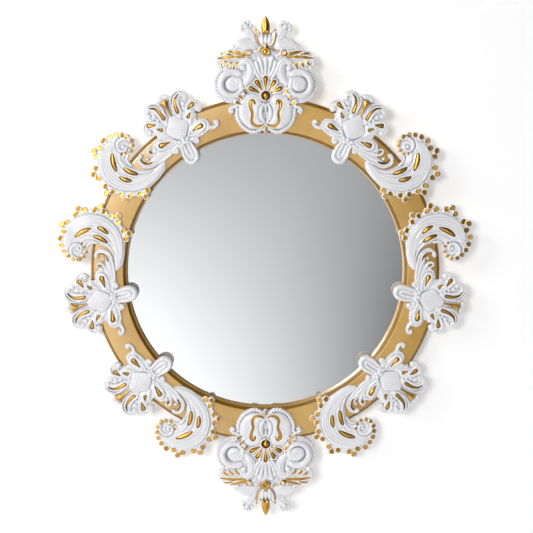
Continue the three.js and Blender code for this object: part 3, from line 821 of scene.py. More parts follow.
@dataclass
class Paisley(Relief):
    """A fluted drop whose head rolls into a spiral and whose back carries gilded dots."""

    low: Point = (-44, -98)
    high: Point = (95, 50)
    body_top: float = 4.0
    crown: float = 8.8
    dot_foot: float = 2.0

    def forms(self) -> None:
        """Draws the whole paisley."""
        self.lace()
        self.body()
        self.flutes()
        self.head()
        self.recesses()
        self.dots()

    def lace(self) -> None:
        """Draws the low scalloped edge that joins the dots to the body."""
        edge = arc((24, -27), 50, 55.5, -80, 98, 60)
        self.pearls(edge, 6.2, 4.2, 5.0)

    def body(self) -> None:
        """Draws the swelling body and its tail."""
        outline = [
            (24, 33), (44, 27), (62, 12), (71.5, -8), (73.5, -28), (67.5, -50), (55, -68), (39, -80),
            (22, -84),
        ]
        outline += [
            (6, -85.5), (-8, -85.5), (-22, -83), (-32, -75), (-29, -69), (-16, -67.5), (-5, -64.5),
            (4, -57.5), (10, -48),
        ]
        outline += [(14, -36), (15, -26), (11, -14), (-4, -10), (-16, -2), (-18, 12), (-10, 24), (6, 33)]
        closed = smooth(outline, closed=True)
        part = self.window(closed, 2.0)
        reach = self.within(part, closed)
        swell = np.clip(reach / 20, 0, 1)
        self.lay(part, reach, 1.8 + (self.body_top + 0.6) * np.sqrt(1 - (1 - swell) ** 2))

    def flutes(self) -> None:
        """Draws the ridges and grooves that flow from the tail round the body into the head."""
        outer = [
            (-31, -74), (-6, -79.5), (18, -78), (39, -69.5), (56, -53), (65, -32), (64.5, -10), (54, 10),
            (36, 24), (15, 28),
        ]
        inner = [
            (-22, -71), (2, -70), (19, -63), (33, -53), (42, -40), (45.5, -24), (43, -5), (32, 10),
            (18, 17), (4, 19),
        ]
        for number, share in enumerate((0.0, 0.26, 0.5, 0.75, 1.0)):
            curve = smooth([
                (a + (c - a) * share, b + (d - b) * share)
                for (a, b), (c, d) in zip(outer, inner)
            ])
            lift = 0.6 * (number % 2)
            self.stroke(
                curve, (1.6, 4.8, 6.6, 7.2, 7.2, 6, 4),
                (5.6 + lift, 7, 7.6 + lift, 7.8 + lift, 7.8, 7.4, 6.8), 6,
            )
            self.groove([(x + 3.0, y - 2.0) for x, y in curve], 2.0, 0.8)
        crest = smooth([(-12, -69), (4, -62), (15, -51), (21, -38), (25, -24), (23, -10), (14, 0)])
        self.stroke(crest, (2.4, 5, 6.6, 7, 6, 3.6), (5, 7, 8, 8.2, 8, 7), 4.4)
        rib = smooth([(0, -69), (14, -61), (25, -50), (31, -36), (34, -24), (31, -12)])
        self.stroke(rib, (2.4, 5, 6.6, 6.6, 5, 3), (5, 7.2, 8.4, 8.6, 8.4, 7.4), 4.6)
        self.stroke(
            smooth([(16, -31), (15.5, -23), (11.5, -16.5), (4, -13.5)]), (6.4, 6, 5.4, 4.4),
            (7, 7, 6.6, 5.8), 2.4,
        )

    def head(self) -> None:
        """Draws the spiral and the beads that follow it."""
        roll = spiral((0, 2), (5.2, 20), (-130, 190), 60)
        self.stroke(roll, (5, 7.6, 9.6), (8.4, 8.6, 7.8), 4.2)
        self.bead((0, 2), 3.6, self.crown, 4.5)
        self.groove(spiral((0, 2), (8.4, 24), (-110, 180), 60), 2.2, 1.7)
        self.groove(spiral((0, 2), (4.6, 5.2), (-20, 250), 40), 1.6, 1.4)

    def recesses(self) -> None:
        """Sinks the three gilded lenses."""
        for (ax, ay), (bx, by), width, bow in (
            ((22, 10.5), (42.5, -18.5), 9.4, 1.8),
            ((28.8, -23), (19.4, -52), 8.6, 2.4),
            ((46.8, -29), (36.4, -51.5), 8.8, 2.0),
        ):
            line = smooth([(ax, ay), ((ax + bx) / 2 + bow, (ay + by) / 2 + bow / 2), (bx, by)])
            self.stroke(line, lens(width + 4.4, 0.02), (7.6, 8.8, 7.6), 5)
            self.sink_line(line, lens(width, 0.01), 3.0, 0.6, 1.9)

    def dots(self) -> None:
        """Sets the gilded dots, three to a group along the back and single ones round the head."""
        groups = [
            (31, -84.5), (41.5, -89.5), (45.5, -79), (60, -67.5), (72, -65.5), (69.5, -54), (76.5, -37.5)
        ]
        groups += [
            (85.5, -30.5), (77.5, -20.5), (75, -1), (76, 10.5), (64, 14.5), (47.5, 28.5), (42, 38),
            (30.5, 32.5),
        ]
        for centre in groups:
            self.dot(centre, 6.8, 5.0)
        singles = [(16.5, 37.5), (3.6, 33.5), (-7, 27.5), (-15, 19), (-19.5, 9), (-19, -1.5), (-13.5, -8.5)]
        singles += [(-4, -12.5), (5.5, -10.5), (11.5, -4.5)]
        for number, centre in enumerate(singles):
            radius = float(np.interp(number, [0, len(singles) - 1], [7.0, 3.8]))
            self.dot(centre, radius, radius * 0.7)

    def dot(self, centre: Point, radius: float, gilded: float) -> None:
        """Sets a dot: a white cup with a gilded disc in it that faces a little to one side.

        Args:
            centre: Its middle.
            radius: Radius of the cup.
            gilded: Radius of the disc.
        """
        part = self.window([centre], radius + 2)
        dx, dy = self.x[part] - centre[0], self.y[part] - centre[1]
        distance = np.hypot(dx, dy)
        lifted = float(np.max(self.height[part] * (distance < 1)))
        top = max(6.4, lifted + 1.2)
        self.bead(centre, radius, top, self.dot_foot)
        self.sink(part, gilded - distance, 1.2, 0.5)
        turn = 2.4 * (centre[0] + 3 * centre[1])
        disc = top - 1.6 + 0.13 * (dx * math.cos(turn) + dy * math.sin(turn))
        self.height[part] = np.where(distance < gilded - 0.4, disc, self.height[part])


@dataclass
class Crest(Relief):
    """The tall ornament: a bud over an acanthus, between two volutes, over a lyre of two lobes."""

    low: Point = (-100, -76)
    high: Point = (100, 147)
    crown: float = 12.6

    def forms(self) -> None:
        """Draws the whole crest."""
        self.ground()
        self.on_both_sides(self.floret, self.shoulder_leaf, self.lower_lobe, self.volute, self.spray)
        self.acanthus()
        self.on_both_sides(self.scroll)
        self.cup()
        self.disc()
        self.on_both_sides(self.side_petals)
        self.heart()
        self.on_both_sides(self.lyre)
        self.petals()

    def ground(self) -> None:
        """Draws the low body that carries the forms."""
        half = [
            (0, 112), (14, 108), (24, 98), (32, 84), (52, 70), (60, 50), (52, 20), (50, -6), (46, -30),
            (30, -56), (12, -62),
        ]
        self.plate(smooth(mirrored(half), closed=True), 6.0, 3.0)

    def floret(self) -> None:
        """Draws a small ragged flower on its stem."""
        self.stroke(
            self.curve([(21, 92), (24, 104), (29, 115), (34, 123)]), (15, 15, 14, 13),
            (8, 8.2, 8, 7.6), 2.4,
        )
        self.stroke(
            self.curve([(30, 100), (33, 110), (38, 117), (43, 118)]), (7, 9, 8, 5),
            (7, 7.4, 7.2, 6.4), 2.4,
        )
        curls = (
            ((27.5, 127), 4.6), ((32, 133.5), 4.6), ((39, 132.5), 4.4), ((43.5, 127), 4.6),
            ((44.5, 120), 4.0), ((36, 126), 5.6),
        )
        for (x, y), radius in curls:
            self.bead((self.side * x, y), radius, 7.6 if radius < 5 else 9.2, 2.4)
        for line in (
            [(34, 122), (30, 132)], [(36, 124), (37, 135)], [(38, 124), (44, 130)], [(37, 121), (45, 122)],
            [(32, 121), (26, 126)],
        ):
            self.groove(self.flip(line), 1.6, 1.3)
        self.groove(self.curve([(22, 97), (26, 108), (32, 118)]), 2.4, 1.2)
        self.groove(self.curve([(27, 95), (30, 104), (35, 114)]), 2.0, 0.9)

    def shoulder_leaf(self) -> None:
        """Draws the rounded leaf below the floret, with the small curl at its end."""
        outline = [
            (16, 90), (22, 101), (35, 107), (48, 105), (57, 97), (57.5, 89.5), (50, 84.5), (36, 82),
            (22, 82),
        ]
        self.plate(self.curve(outline, closed=True), 8.8, 9.0)
        self.stroke(self.curve([(19, 86), (32, 85.5), (45, 86), (54, 90)]), (4, 5, 5, 4), (8, 8.4, 8, 7), 4)
        self.stroke(
            self.curve([(46, 86), (53, 88), (58, 92.5), (59.5, 87), (54.5, 83.5)]), (5, 6, 5.6, 4.6),
            (7.4, 7.8, 7.4), 2.4,
        )
        self.bead((self.side * 54.6, 87.4), 3.6, 8.2)

    def lower_lobe(self) -> None:
        """Draws a smooth lobe of the lower half, with its scalloped edge and the small side curl."""
        edge = self.curve([
            (53.5, -26), (53.5, -37), (50.5, -46.5), (44, -56), (35, -63), (25.5, -66.6), (15, -65.6),
            (7, -60.5),
        ])
        self.pearls(edge, 5.8, 4.4, 6.6)
        self.pearls([(x * 0.985, y * 0.985) for x, y in edge], 5.8, 3.0, 7.4)
        outline = [
            (3, -56), (14, -61.5), (25, -62.5), (35, -58.5), (44, -50.5), (50, -40), (51.5, -28), (51, -14),
            (45, -2), (28, 5), (10, 0), (4, -20),
        ]
        self.plate(self.curve(outline, closed=True), 9.8, 11.0)
        curl = self.curve([(49, -15), (56, -20), (63.5, -22.5), (67, -27.5), (64, -32)])
        self.stroke(curl, (9, 8.4, 7.6, 7, 6), (7, 7.4, 7.4, 6.6), 2.4)
        self.bead((self.side * 61.8, -28.6), 4.2, 8.0)

    def volute(self) -> None:
        """Draws the volute at the side: a scalloped rim, a smooth band, a deep groove and a shell."""
        centre = (62.0, 20.0)
        for angle in range(-118, 106, 8):
            self.bead(self.flip([polar(centre, 31.4, angle)])[0], 3.9, 6.4, 2.2)
        self.plate(self.flip(arc(centre, 31, 31, 0, 360, 72)[:-1]), 6.6, 2.6)
        for angle in range(-114, 102, 8):
            self.groove(self.flip([polar(centre, 26.5, angle), polar(centre, 34, angle)]), 2.0, 1.7)
        band = self.flip(spiral(centre, (16.5, 24), (-215, 120), 70))
        self.stroke(band, (7, 11, 13, 13.5, 13.5), (9, 10.6, 11.4, 11.4, 10.4), 5.8)
        shell = self.curve(
            [(52, 2), (64, 6), (73, 14), (74.5, 24), (68, 33), (56, 36), (44, 32), (40, 20), (43, 8)],
            closed=True,
        )
        self.plate(shell, 9.0, 6.0)
        self.groove(self.flip(spiral(centre, (13.6, 15.4), (-168, 92), 50)), 4.2, 4.4)
        for number, angle in enumerate((12, 48, 84, 120, 156)):
            foot, tip = polar((50, 9), 5, angle * 0.8), polar((54, 14), 16.5 - number, angle)
            knee = polar((52, 12), 11, angle * 0.9 + 10)
            self.stroke(self.curve([foot, knee, tip]), (3, 5.4, 5, 2.6), (8.6, 10, 9.8, 8.6), 6)
        self.stroke(
            self.curve([(60, 1.5), (51, -1), (43, 1.5), (38, 8), (37, 16)]), (7, 9, 9.5, 8, 6),
            (8.6, 9.6, 9.8, 9.6, 8.6), 4,
        )

    def spray(self) -> None:
        """Draws the leaf spray above the volute, with its gilded stripes."""
        outline = [
            (26, 66), (36, 74), (52, 77), (68, 77), (80, 73), (85, 66), (82, 57), (72, 50), (58, 48),
            (44, 52),
        ]
        self.plate(self.curve(outline, closed=True), 6.2, 3.4)
        stripes = (
            ((29, 71.5), (50, 77.5), (67.6, 81), 6.0),
            ((64, 75), (73, 77), (81.5, 77), 4.2),
            ((35, 69.6), (62, 70.6), (88, 68), 5.4),
            ((71, 63), (77.8, 59.4), (82, 54.4), 4.8),
            ((60.5, 61.4), (67.4, 57.4), (71.6, 51), 4.8),
            ((49.5, 62), (56, 56.4), (59.4, 48.6), 5.0),
        )
        for x, y, radius in (
            (85, 63, 5.2), (88, 57, 4.6), (83, 50.5, 4.8), (76, 46.8, 4.6), (66, 45.6, 4.6),
            (89.6, 63.5, 4.2),
        ):
            self.bead((self.side * x, y), radius, 7.2, 2.4)
        for start, middle, end, width in stripes:
            line = self.curve([start, middle, end])
            self.stroke(line, (3, width + 4.4, width + 5.2, width + 3.6), (8.2, 9.2, 8.8, 7.6), 3.4)
        for start, middle, end, width in stripes:
            line = self.curve([start, middle, end])
            self.sink_line(line, (0.9, width * 0.8, width, width * 0.9, 1.6), 1.7, 0.5, 0.8)
        self.stroke(
            self.curve([(20, 72), (26, 76), (30, 84), (38, 85.5), (42.5, 79)]), (5, 6, 6, 5.4, 4.6),
            (8.4, 9, 9, 8.6), 4,
        )
        self.bead((self.side * 32.5, 78), 7.8, 9.4, 4)
        self.stroke(arc((self.side * 32.5, 78), 4.7, 4.7, 0, 360, 32), (2.8, 2.8), (10.4, 10.4), 7, gilt=1)
        self.bead((self.side * 32.5, 78), 2.6, 10.2, 6)

    def scroll(self) -> None:
        """Draws the tall C-scroll between the acanthus and the volute, with its inner curl."""
        spine = self.curve([(47, 51), (44.5, 59), (36, 63), (28.5, 57), (27, 44), (31, 32), (38, 23)])
        self.stroke(spine, (9, 12, 16, 18, 18, 15, 11), (8.8, 10.2, 11, 11.4, 11.2, 10.4, 9), 5.5)
        self.bead((self.side * 43, 50), 6.6, 10.4, 5)
        self.groove(self.flip(spiral((43, 50), (4.0, 7.6), (-200, 110), 40)), 2.2, 2.0)
        self.groove(self.curve([(42, 63), (32, 62), (24.6, 52), (24.6, 40), (30, 28)]), 2.6, 1.3)
        self.groove(self.curve([(36, 57), (31, 52), (30.5, 42), (34, 32)]), 2.4, 0.9)

    def acanthus(self) -> None:
        """Draws the upright leaf in the middle."""
        self.plate(
            smooth(
                [
                    (0, 78), (12, 74), (20, 62), (22, 46), (14, 34), (0, 31), (-14, 34), (-22, 46),
                    (-20, 62), (-12, 74),
                ], closed=True,
            ), 8.4, 6,
        )
        for _ in self.sides():
            for foot, knee, tip, width in (
                ((9, 30), (17, 40), (20.5, 50), 7.0),
                ((6, 33), (14, 48), (18.5, 61), 7.6),
                ((3.4, 36), (8, 56), (12.4, 69.5), 7.2),
            ):
                self.stroke(
                    self.curve([foot, knee, tip]), (3.0, width - 1, width, width - 0.6),
                    (8.6, 10, 10.6, 10), 6.4,
                )
            self.groove(self.curve([(3.2, 36), (4.4, 54), (5.4, 70)]), 1.8, 1.4)
            self.groove(self.curve([(8.5, 38), (12, 54), (13.6, 66)]), 1.8, 1.1)
        self.stroke([(0, 36), (0, 54), (0, 75)], (4.4, 6.8, 5.6, 2.6), (10, 11, 10.6, 9), 6, Section.RIDGE)

    def cup(self) -> None:
        """Draws the gilt-edged cup and the gilded bud in it."""
        bud = smooth(
            [
                (0, 145.2), (4.6, 139.5), (8.2, 130), (8, 120), (4, 113), (-4, 113), (-8, 120), (-8.2, 130),
                (-4.6, 139.5),
            ], closed=True,
        )
        self.plate(bud, 12.6, 8.4, gilt=1)
        for side in self.sides():
            self.groove(smooth([(0, 142), (side * 3.6, 132), (side * 3.4, 119)]), 1.8, 1.6)
            self.bead((side * 4, 116), 4.4, 12.2, 6, gilt=1)
        for x, top in ((8.5, 118), (-8.5, 118), (0, 115)):
            self.drop((x * 0.8, 99), (x * 0.9, top), 12, 11.4, 5)
        for _ in self.sides():
            petal = self.curve(
                [(1, 90), (9, 90.5), (15.4, 99), (17.4, 110), (19, 121.5), (12, 116), (8, 106)], closed=True
            )
            self.plate(petal, 10.4, 5)
            rim = self.curve([(9, 90.5), (15, 98.5), (17, 109), (18.6, 121)])
            self.stroke(rim, (3, 3.6, 3.4, 2.4), (10.6, 11.2, 11, 10), 6, gilt=1)
            self.stroke(
                self.flip([(8.4, 111.5), (12.6, 115.8), (18, 121)]), (1.8, 2.8, 2),
                (10.4, 11.4, 10), 6, gilt=1,
            )
            self.groove(self.curve([(7.6, 94), (11.6, 102), (13, 112)]), 2.0, 0.8)

    def disc(self) -> None:
        """Draws the gilded boss under the cup, with its cap and wings."""
        self.drop((0, 87.5), (0, 98), 11, 11.6, 6, gilt=1)
        for _ in self.sides():
            wing = self.curve([(5, 85), (10, 85), (14, 81.5), (19.5, 81)])
            self.stroke(wing, (6, 7.4, 6.6, 5), (9.2, 9.8, 9.4, 8.4), 5)
            self.stroke(wing, (3.2, 3.8, 3.2, 1.8), (10.8, 11.2, 10.6, 9.4), 6, gilt=1)
        self.bead((0, 80), 8.6, 10.8, 5)
        self.bead((0, 80), 6.0, 11.0, 9, gilt=1)
        self.stroke(arc((0, 80), 6.3, 6.3, 0, 360, 40), (3.6, 3.6), (12.2, 12.2), 7.5, gilt=1)
        self.stroke(spiral((0, 80), (1.4, 3.6), (0, 330), 24), (1.8, 2.2), (11.8, 11.6), 8, gilt=1)

    def side_petals(self) -> None:
        """Draws the three gilded petals that step down between the beadwork and the volute."""
        for (x, y), lean in (((37, 5.5), 56), ((44.4, -4.5), 42), ((48.8, -14.5), 28)):
            (ax, ay), (bx, by) = polar((x, y), 6.4, lean), polar((x, y), 8, lean + 180)
            self.drop((self.side * ax, ay), (self.side * bx, by), 11.4, 10.4, 5)
            (ax, ay), (bx, by) = polar((x, y), 4.4, lean), polar((x, y), 6.4, lean + 180)
            self.sink_drop((self.side * ax, ay), (self.side * bx, by), 6.0, 1.8, 0.6, 0.9)

    def lyre(self) -> None:
        """Draws one of the two gilded bands of the lyre."""
        line = self.curve([
            (20.5, -14), (23.6, -9.4), (28, -13), (27.4, -22), (24, -33), (25.4, -44), (23.4, -51.5),
            (16, -56), (8, -55.4), (3, -52),
        ])
        self.stroke(line, (6, 10, 10, 8.4, 8.4, 9, 9, 8, 6), (10, 11, 10.8, 10.4, 10.2, 10.4, 10.4, 9.8), 6.5)
        self.sink_line(line, (4.4, 7, 6.2, 5, 4.8, 5.4, 5.6, 4.8, 2.4), 2.1, 0.5, 0.8)
        self.bead((self.side * 22.4, -13.2), 3.6, 11.2, 6.5, gilt=1)

    def heart(self) -> None:
        """Draws the hanging leaves between the lyre's bands, and the gilded drop below them."""
        for _ in self.sides():
            outer = self.curve([(9, -13), (16.5, -20), (18.5, -31), (18.5, -42), (12, -50), (4, -50)])
            self.stroke(outer, (5, 9, 10.5, 11, 9, 5), (9.6, 10.6, 10.4, 10.6, 9.8), 6)
            inner = self.curve([(4, -15), (8.4, -24), (9, -34), (6.4, -43), (1.6, -48)])
            self.stroke(inner, (5, 8, 9, 7.6, 4), (10.2, 11.2, 11.2, 10.6, 9.8), 6)
            self.groove(self.curve([(7.4, -14), (12.4, -23), (13.6, -34), (11, -44), (4, -49)]), 1.7, 1.4)
            self.groove(self.curve([(12, -16), (19, -27), (20, -38)]), 1.6, 0.8)
            self.groove(self.curve([(6.4, -21), (8, -31), (6, -41)]), 1.5, 0.8)
        self.groove([(0, -22), (0, -52)], 2.4, 2.0)
        self.drop((0, -18), (0, -33), 6.4, 11.6, 6)
        self.drop((0, -63), (0, -52), 11, 8.4, 2.6)
        self.drop((0, -63.5), (0, -55), 7.4, 10.0, 4, gilt=1)

    def petals(self) -> None:
        """Draws the five gilded petals that rise from the bead in its gilded socket."""
        for angle, reach in ((90, 37), (57, 35), (123, 35), (26, 36), (154, 36)):
            fat, thin = polar((0, 0), reach - 5.5, angle), polar((0, 0), 8.5, angle)
            self.drop(fat, thin, 14.6, 11.4, 5)
            self.sink_drop(fat, thin, 9.4, 3.1, 0.6)
            self.drop(polar((0, 0), reach - 6.2, angle), polar((0, 0), 15, angle), 5.0, 10.2, 6.2, gilt=1)
        self.bead((0, 0), 11.6, 11.0, 5)
        part = self.window([(0, 0)], 14)
        self.sink(part, 8.6 - np.hypot(self.x[part], self.y[part]), 4.6, 0.5)
        self.bead((0, 0), 5.7, self.crown, 6, gilt=1)
        self.drop((0, -4), (0, -13.5), 6, 11.4, 6, gilt=1)


# --- node trees


class Signal:
    """An output socket on which Python's arithmetic adds Math nodes."""

    def __init__(self, tree: "Nodes", socket: bpy.types.NodeSocket) -> None:
        """Keeps the tree and the socket."""
        self.tree = tree
        self.socket = socket

    def maths(self, operation: str, first: object, second: object = None) -> "Signal":
        """Adds one Math node."""
        sockets = {0: first} if second is None else {0: first, 1: second}
        return self.tree.out("ShaderNodeMath", {"operation": operation}, sockets)

    def __add__(self, other: object) -> "Signal":
        """Returns self + other."""
        return self.maths("ADD", self, other)

    __radd__ = __add__

    def __sub__(self, other: object) -> "Signal":
        """Returns self - other."""
        return self.maths("SUBTRACT", self, other)

    def __rsub__(self, other: object) -> "Signal":
        """Returns other - self."""
        return self.maths("SUBTRACT", other, self)

    def __mul__(self, other: object) -> "Signal":
        """Returns self times other."""
        return self.maths("MULTIPLY", self, other)

    __rmul__ = __mul__

    def __pow__(self, other: object) -> "Signal":
        """Returns self to the power of other."""
        return self.maths("POWER", self, other)

    def largest(self, other: object) -> "Signal":
        """Returns the larger of the two."""
        return self.maths("MAXIMUM", self, other)

    def smallest(self, other: object) -> "Signal":
        """Returns the smaller of the two."""
        return self.maths("MINIMUM", self, other)

    def between(self, low: float, high: float, bottom: float = 0.0, top: float = 1.0) -> "Signal":
        """Returns self moved smoothly from the span low..high to bottom..top."""
        sockets = {0: self, 1: low, 2: high, 3: bottom, 4: top}
        return self.tree.out("ShaderNodeMapRange", {"interpolation_type": "SMOOTHSTEP"}, sockets)


class Nodes:
    """A node tree that is built by calls, for materials, for the world and for geometry."""

    def __init__(self, tree: bpy.types.NodeTree) -> None:
        """Empties the tree and keeps it."""
        self.tree = tree
        tree.nodes.clear()

    def node(self, kind: str, settings: dict | None = None, sockets: dict | None = None) -> bpy.types.Node:
        """Adds a node.

        Args:
            kind: The node's type.
            settings: Its own settings.
            sockets: Values, signals or sockets for its inputs, by name or number.

        Returns:
            The node.
        """
        made = self.tree.nodes.new(kind)
        for name, value in (settings or {}).items():
            setattr(made, name, value)
        for key, value in (sockets or {}).items():
            self.feed(made.inputs[key], value)
        return made

    def feed(self, target: bpy.types.NodeSocket, value: object) -> None:
        """Links a signal or a socket to an input, or sets the input's value."""
        if isinstance(value, Signal):
            self.tree.links.new(value.socket, target)
        elif isinstance(value, bpy.types.NodeSocket):
            self.tree.links.new(value, target)
        else:
            target.default_value = value

    def out(
        self, kind: str, settings: dict | None = None, sockets: dict | None = None, name: str | int = 0
    ) -> Signal:
        """Adds a node and returns one of its outputs as a signal."""
        return Signal(self, self.node(kind, settings, sockets).outputs[name])

    def mix(self, share: object, first: object, second: object) -> Signal:
        """Mixes two colours."""
        made = self.node("ShaderNodeMix", {"data_type": "RGBA"}, {0: share, 6: first, 7: second})
        return Signal(self, made.outputs[2])

    def split(self, place: Signal) -> tuple[Signal, ...]:
        """Returns the three coordinates of a place or a direction."""
        apart = self.node("ShaderNodeSeparateXYZ", {}, {0: place})
        return tuple(Signal(self, socket) for socket in apart.outputs)

    def noise(self, place: Signal, scale: float, detail: float = 3.0, rough: float = 0.5) -> Signal:
        """Returns noise from 0 to 1, with scale patches to the metre."""
        sockets = {"Vector": place, "Scale": scale, "Detail": detail, "Roughness": rough}
        return self.out("ShaderNodeTexNoise", {}, sockets, "Fac")


def linear(red: int, green: int, blue: int) -> tuple[float, float, float, float]:
    """Returns the scene colour of an sRGB colour with channels from 0 to 255."""

    def channel(value: int) -> float:
        """Returns one channel of it."""
        share = value / 255
        return share / 12.92 if share <= 0.04045 else ((share + 0.055) / 1.055) ** 2.4

    return (channel(red), channel(green), channel(blue), 1.0)


# --- finishes


class Finish:
    """What every finish shares: a material with one Principled shader, and its coordinates."""

    name = "finish"

    def material(self) -> Material:
        """Makes the material."""
        made = bpy.data.materials.new(self.name)
        made.use_nodes = True
        nodes = Nodes(made.node_tree)
        shader = nodes.node("ShaderNodeBsdfPrincipled")
        nodes.node("ShaderNodeOutputMaterial", {}, {"Surface": shader.outputs[0]})
        place = nodes.out("ShaderNodeTexCoord", {}, {}, "Object")
        self.dress(nodes, shader, place)
        return made

    def dress(self, nodes: Nodes, shader: bpy.types.Node, place: Signal) -> None:
        """Feeds the shader. Each finish says how."""
        raise NotImplementedError

    @staticmethod
    def set(nodes: Nodes, shader: bpy.types.Node, **values: object) -> None:
        """Sets or links the shader's sockets, named with _ for a space."""
        for name, value in values.items():
            nodes.feed(shader.inputs[name.replace("_", " ")], value)

    @staticmethod
    def bump(nodes: Nodes, height: Signal, depth: float) -> Signal:
        """Returns a normal that a height from 0 to 1 tips, depth metres deep."""
        return nodes.out("ShaderNodeBump", {}, {"Height": height, "Distance": depth}, "Normal")


@dataclass(frozen=True)
class GoldLeaf(Finish):
    """Satin gold leaf on smooth wood: soft mottling and a fine grain, with painted shade as a darker brown
    band in the cove and on the outer chamfer.
    """

    name: str = "satin_gold_leaf"
    bright: tuple = linear(207, 161, 48)
    deep: tuple = linear(188, 139, 28)
    # dark brown painted into the cove and onto the outer chamfer as shade
    shade_brown: tuple = linear(104, 70, 20)
    cove: tuple = (0.2648, 0.2702)
    edge: float = 0.3252
    # how far the cove and the chamfer are darkened by the painted shade
    shade_strength: float = 0.7
    fade: float = 0.0006
    waver: float = 0.0008

    def dress(self, nodes: Nodes, shader: bpy.types.Node, place: Signal) -> None:
        """Feeds the shader."""
        cloud = nodes.noise(place, 9, 3)
        mottle = nodes.noise(place, 70, 4, 0.6)
        grain = nodes.noise(place, 900, 2, 0.6)
        tone = (0.55 * cloud + 0.35 * mottle + 0.1 * grain).between(0.32, 0.68)
        across, _, up = nodes.split(place)
        above = up - RING_CENTRE * MM
        radius = (across * across + above * above) ** 0.5 + self.waver * mottle
        inner = radius.between(self.cove[0] - self.fade, self.cove[0] + self.fade)
        outer = radius.between(self.cove[1] - self.fade, self.cove[1] + self.fade, self.shade_strength, 0.0)
        chamfer = radius.between(self.edge - 0.001, self.edge + 0.001, 0.0, self.shade_strength)
        # painted shade: the cove and the outer chamfer are mixed towards dark brown and lose their coat,
        # standing in for the shade that falls there
        painted_edge_shade = outer * inner + chamfer
        leaf = nodes.mix(tone, self.deep, self.bright)
        self.set(nodes, shader, Base_Color=nodes.mix(painted_edge_shade, leaf, self.shade_brown), Metallic=0.2)
        self.set(nodes, shader, Roughness=0.34 + 0.14 * mottle + 0.05 * grain)
        self.set(nodes, shader, Coat_Weight=1.0 - painted_edge_shade, Coat_Roughness=0.3, Coat_IOR=2.3)
        self.set(nodes, shader, Specular_IOR_Level=0.0)
        self.set(nodes, shader, Normal=self.bump(nodes, grain + 0.6 * mottle, 0.00006))


@dataclass(frozen=True)
class Porcelain(Finish):
    """White glaze over porcelain, with gold lustre where the relief is gilded, and painted shade that darkens
    both in creases and recesses.
    """

    name: str = "glazed_porcelain"
    white: tuple = linear(243, 243, 246)
    # grey-lilac painted into creases and recesses as shade
    painted_crease_shade: tuple = linear(150, 150, 164)
    lustre: tuple = linear(194, 150, 72)
    # brown that the lustre turns to: partly random brushed tone, partly painted shade in hollows
    lustre_tone_and_shade: tuple = linear(92, 64, 24)

    def dress(self, nodes: Nodes, shader: bpy.types.Node, place: Signal) -> None:
        """Feeds the shader."""
        gilt = nodes.out("ShaderNodeAttribute", {"attribute_name": "gilt"}, {}, "Fac").between(0.35, 0.65)
        hollow = nodes.out("ShaderNodeAttribute", {"attribute_name": "hollow"}, {}, "Fac")
        cloud = nodes.noise(place, 26, 3)
        brushed = nodes.noise(place, 260, 3, 0.6)
        # painted shade: the white turns grey-lilac where the relief lies in a crease or hollow, with a little
        # random cloud on top
        pale = nodes.mix((hollow * 0.85 + 0.12 * cloud).between(0.1, 1.0), self.white, self.painted_crease_shade)
        # the gold darkens to brown partly at random along a brushed noise and partly as painted shade in
        # hollows and creases
        gold = nodes.mix((hollow + 0.3 * brushed).between(0.2, 0.95), self.lustre, self.lustre_tone_and_shade)
        self.set(nodes, shader, Base_Color=nodes.mix(gilt, pale, gold), Metallic=gilt)
        self.set(nodes, shader, Roughness=0.13 + 0.05 * cloud + gilt * (0.14 + 0.1 * brushed))
        self.set(nodes, shader, Normal=self.bump(nodes, cloud + 0.25 * brushed, 0.00022))


@dataclass(frozen=True)
class Bisque(Finish):
    """Unglazed porcelain on the ornaments' backs: matt, with a soft mottle and a fine grit."""

    name: str = "unglazed_porcelain"

    def dress(self, nodes: Nodes, shader: bpy.types.Node, place: Signal) -> None:
        """Feeds the shader."""
        cloud, grit = nodes.noise(place, 30, 4), nodes.noise(place, 1500, 2)
        clay = nodes.mix(cloud.between(0.3, 0.75), linear(228, 224, 216), linear(205, 198, 186))
        self.set(nodes, shader, Base_Color=clay)
        self.set(nodes, shader, Roughness=0.75 + 0.15 * grit, Normal=self.bump(nodes, grit, 0.00008))


@dataclass(frozen=True)
class Silvering(Finish):
    """Silvered flat glass seen from the front."""

    name: str = "silvered_glass"

    def dress(self, nodes: Nodes, shader: bpy.types.Node, place: Signal) -> None:
        """Feeds the shader."""
        haze = nodes.noise(place, 6, 3)
        self.set(nodes, shader, Base_Color=nodes.mix(haze, linear(238, 240, 241), linear(232, 235, 237)))
        self.set(nodes, shader, Metallic=1.0, Roughness=0.006 + 0.006 * haze)


@dataclass(frozen=True)
class Painted(Finish):
    """Paint or a plain moulded surface with a soft mottle."""

    name: str = "paint"
    light: tuple = linear(120, 124, 126)
    dark: tuple = linear(96, 99, 102)
    roughness: float = 0.6
    scale: float = 60
    depth: float = 0.00005

    def dress(self, nodes: Nodes, shader: bpy.types.Node, place: Signal) -> None:
        """Feeds the shader."""
        patches, grit = nodes.noise(place, self.scale, 4), nodes.noise(place, self.scale * 14, 2)
        self.set(nodes, shader, Base_Color=nodes.mix(patches.between(0.3, 0.7), self.light, self.dark))
        self.set(nodes, shader, Roughness=self.roughness + 0.12 * grit)
        self.set(nodes, shader, Normal=self.bump(nodes, grit, self.depth))


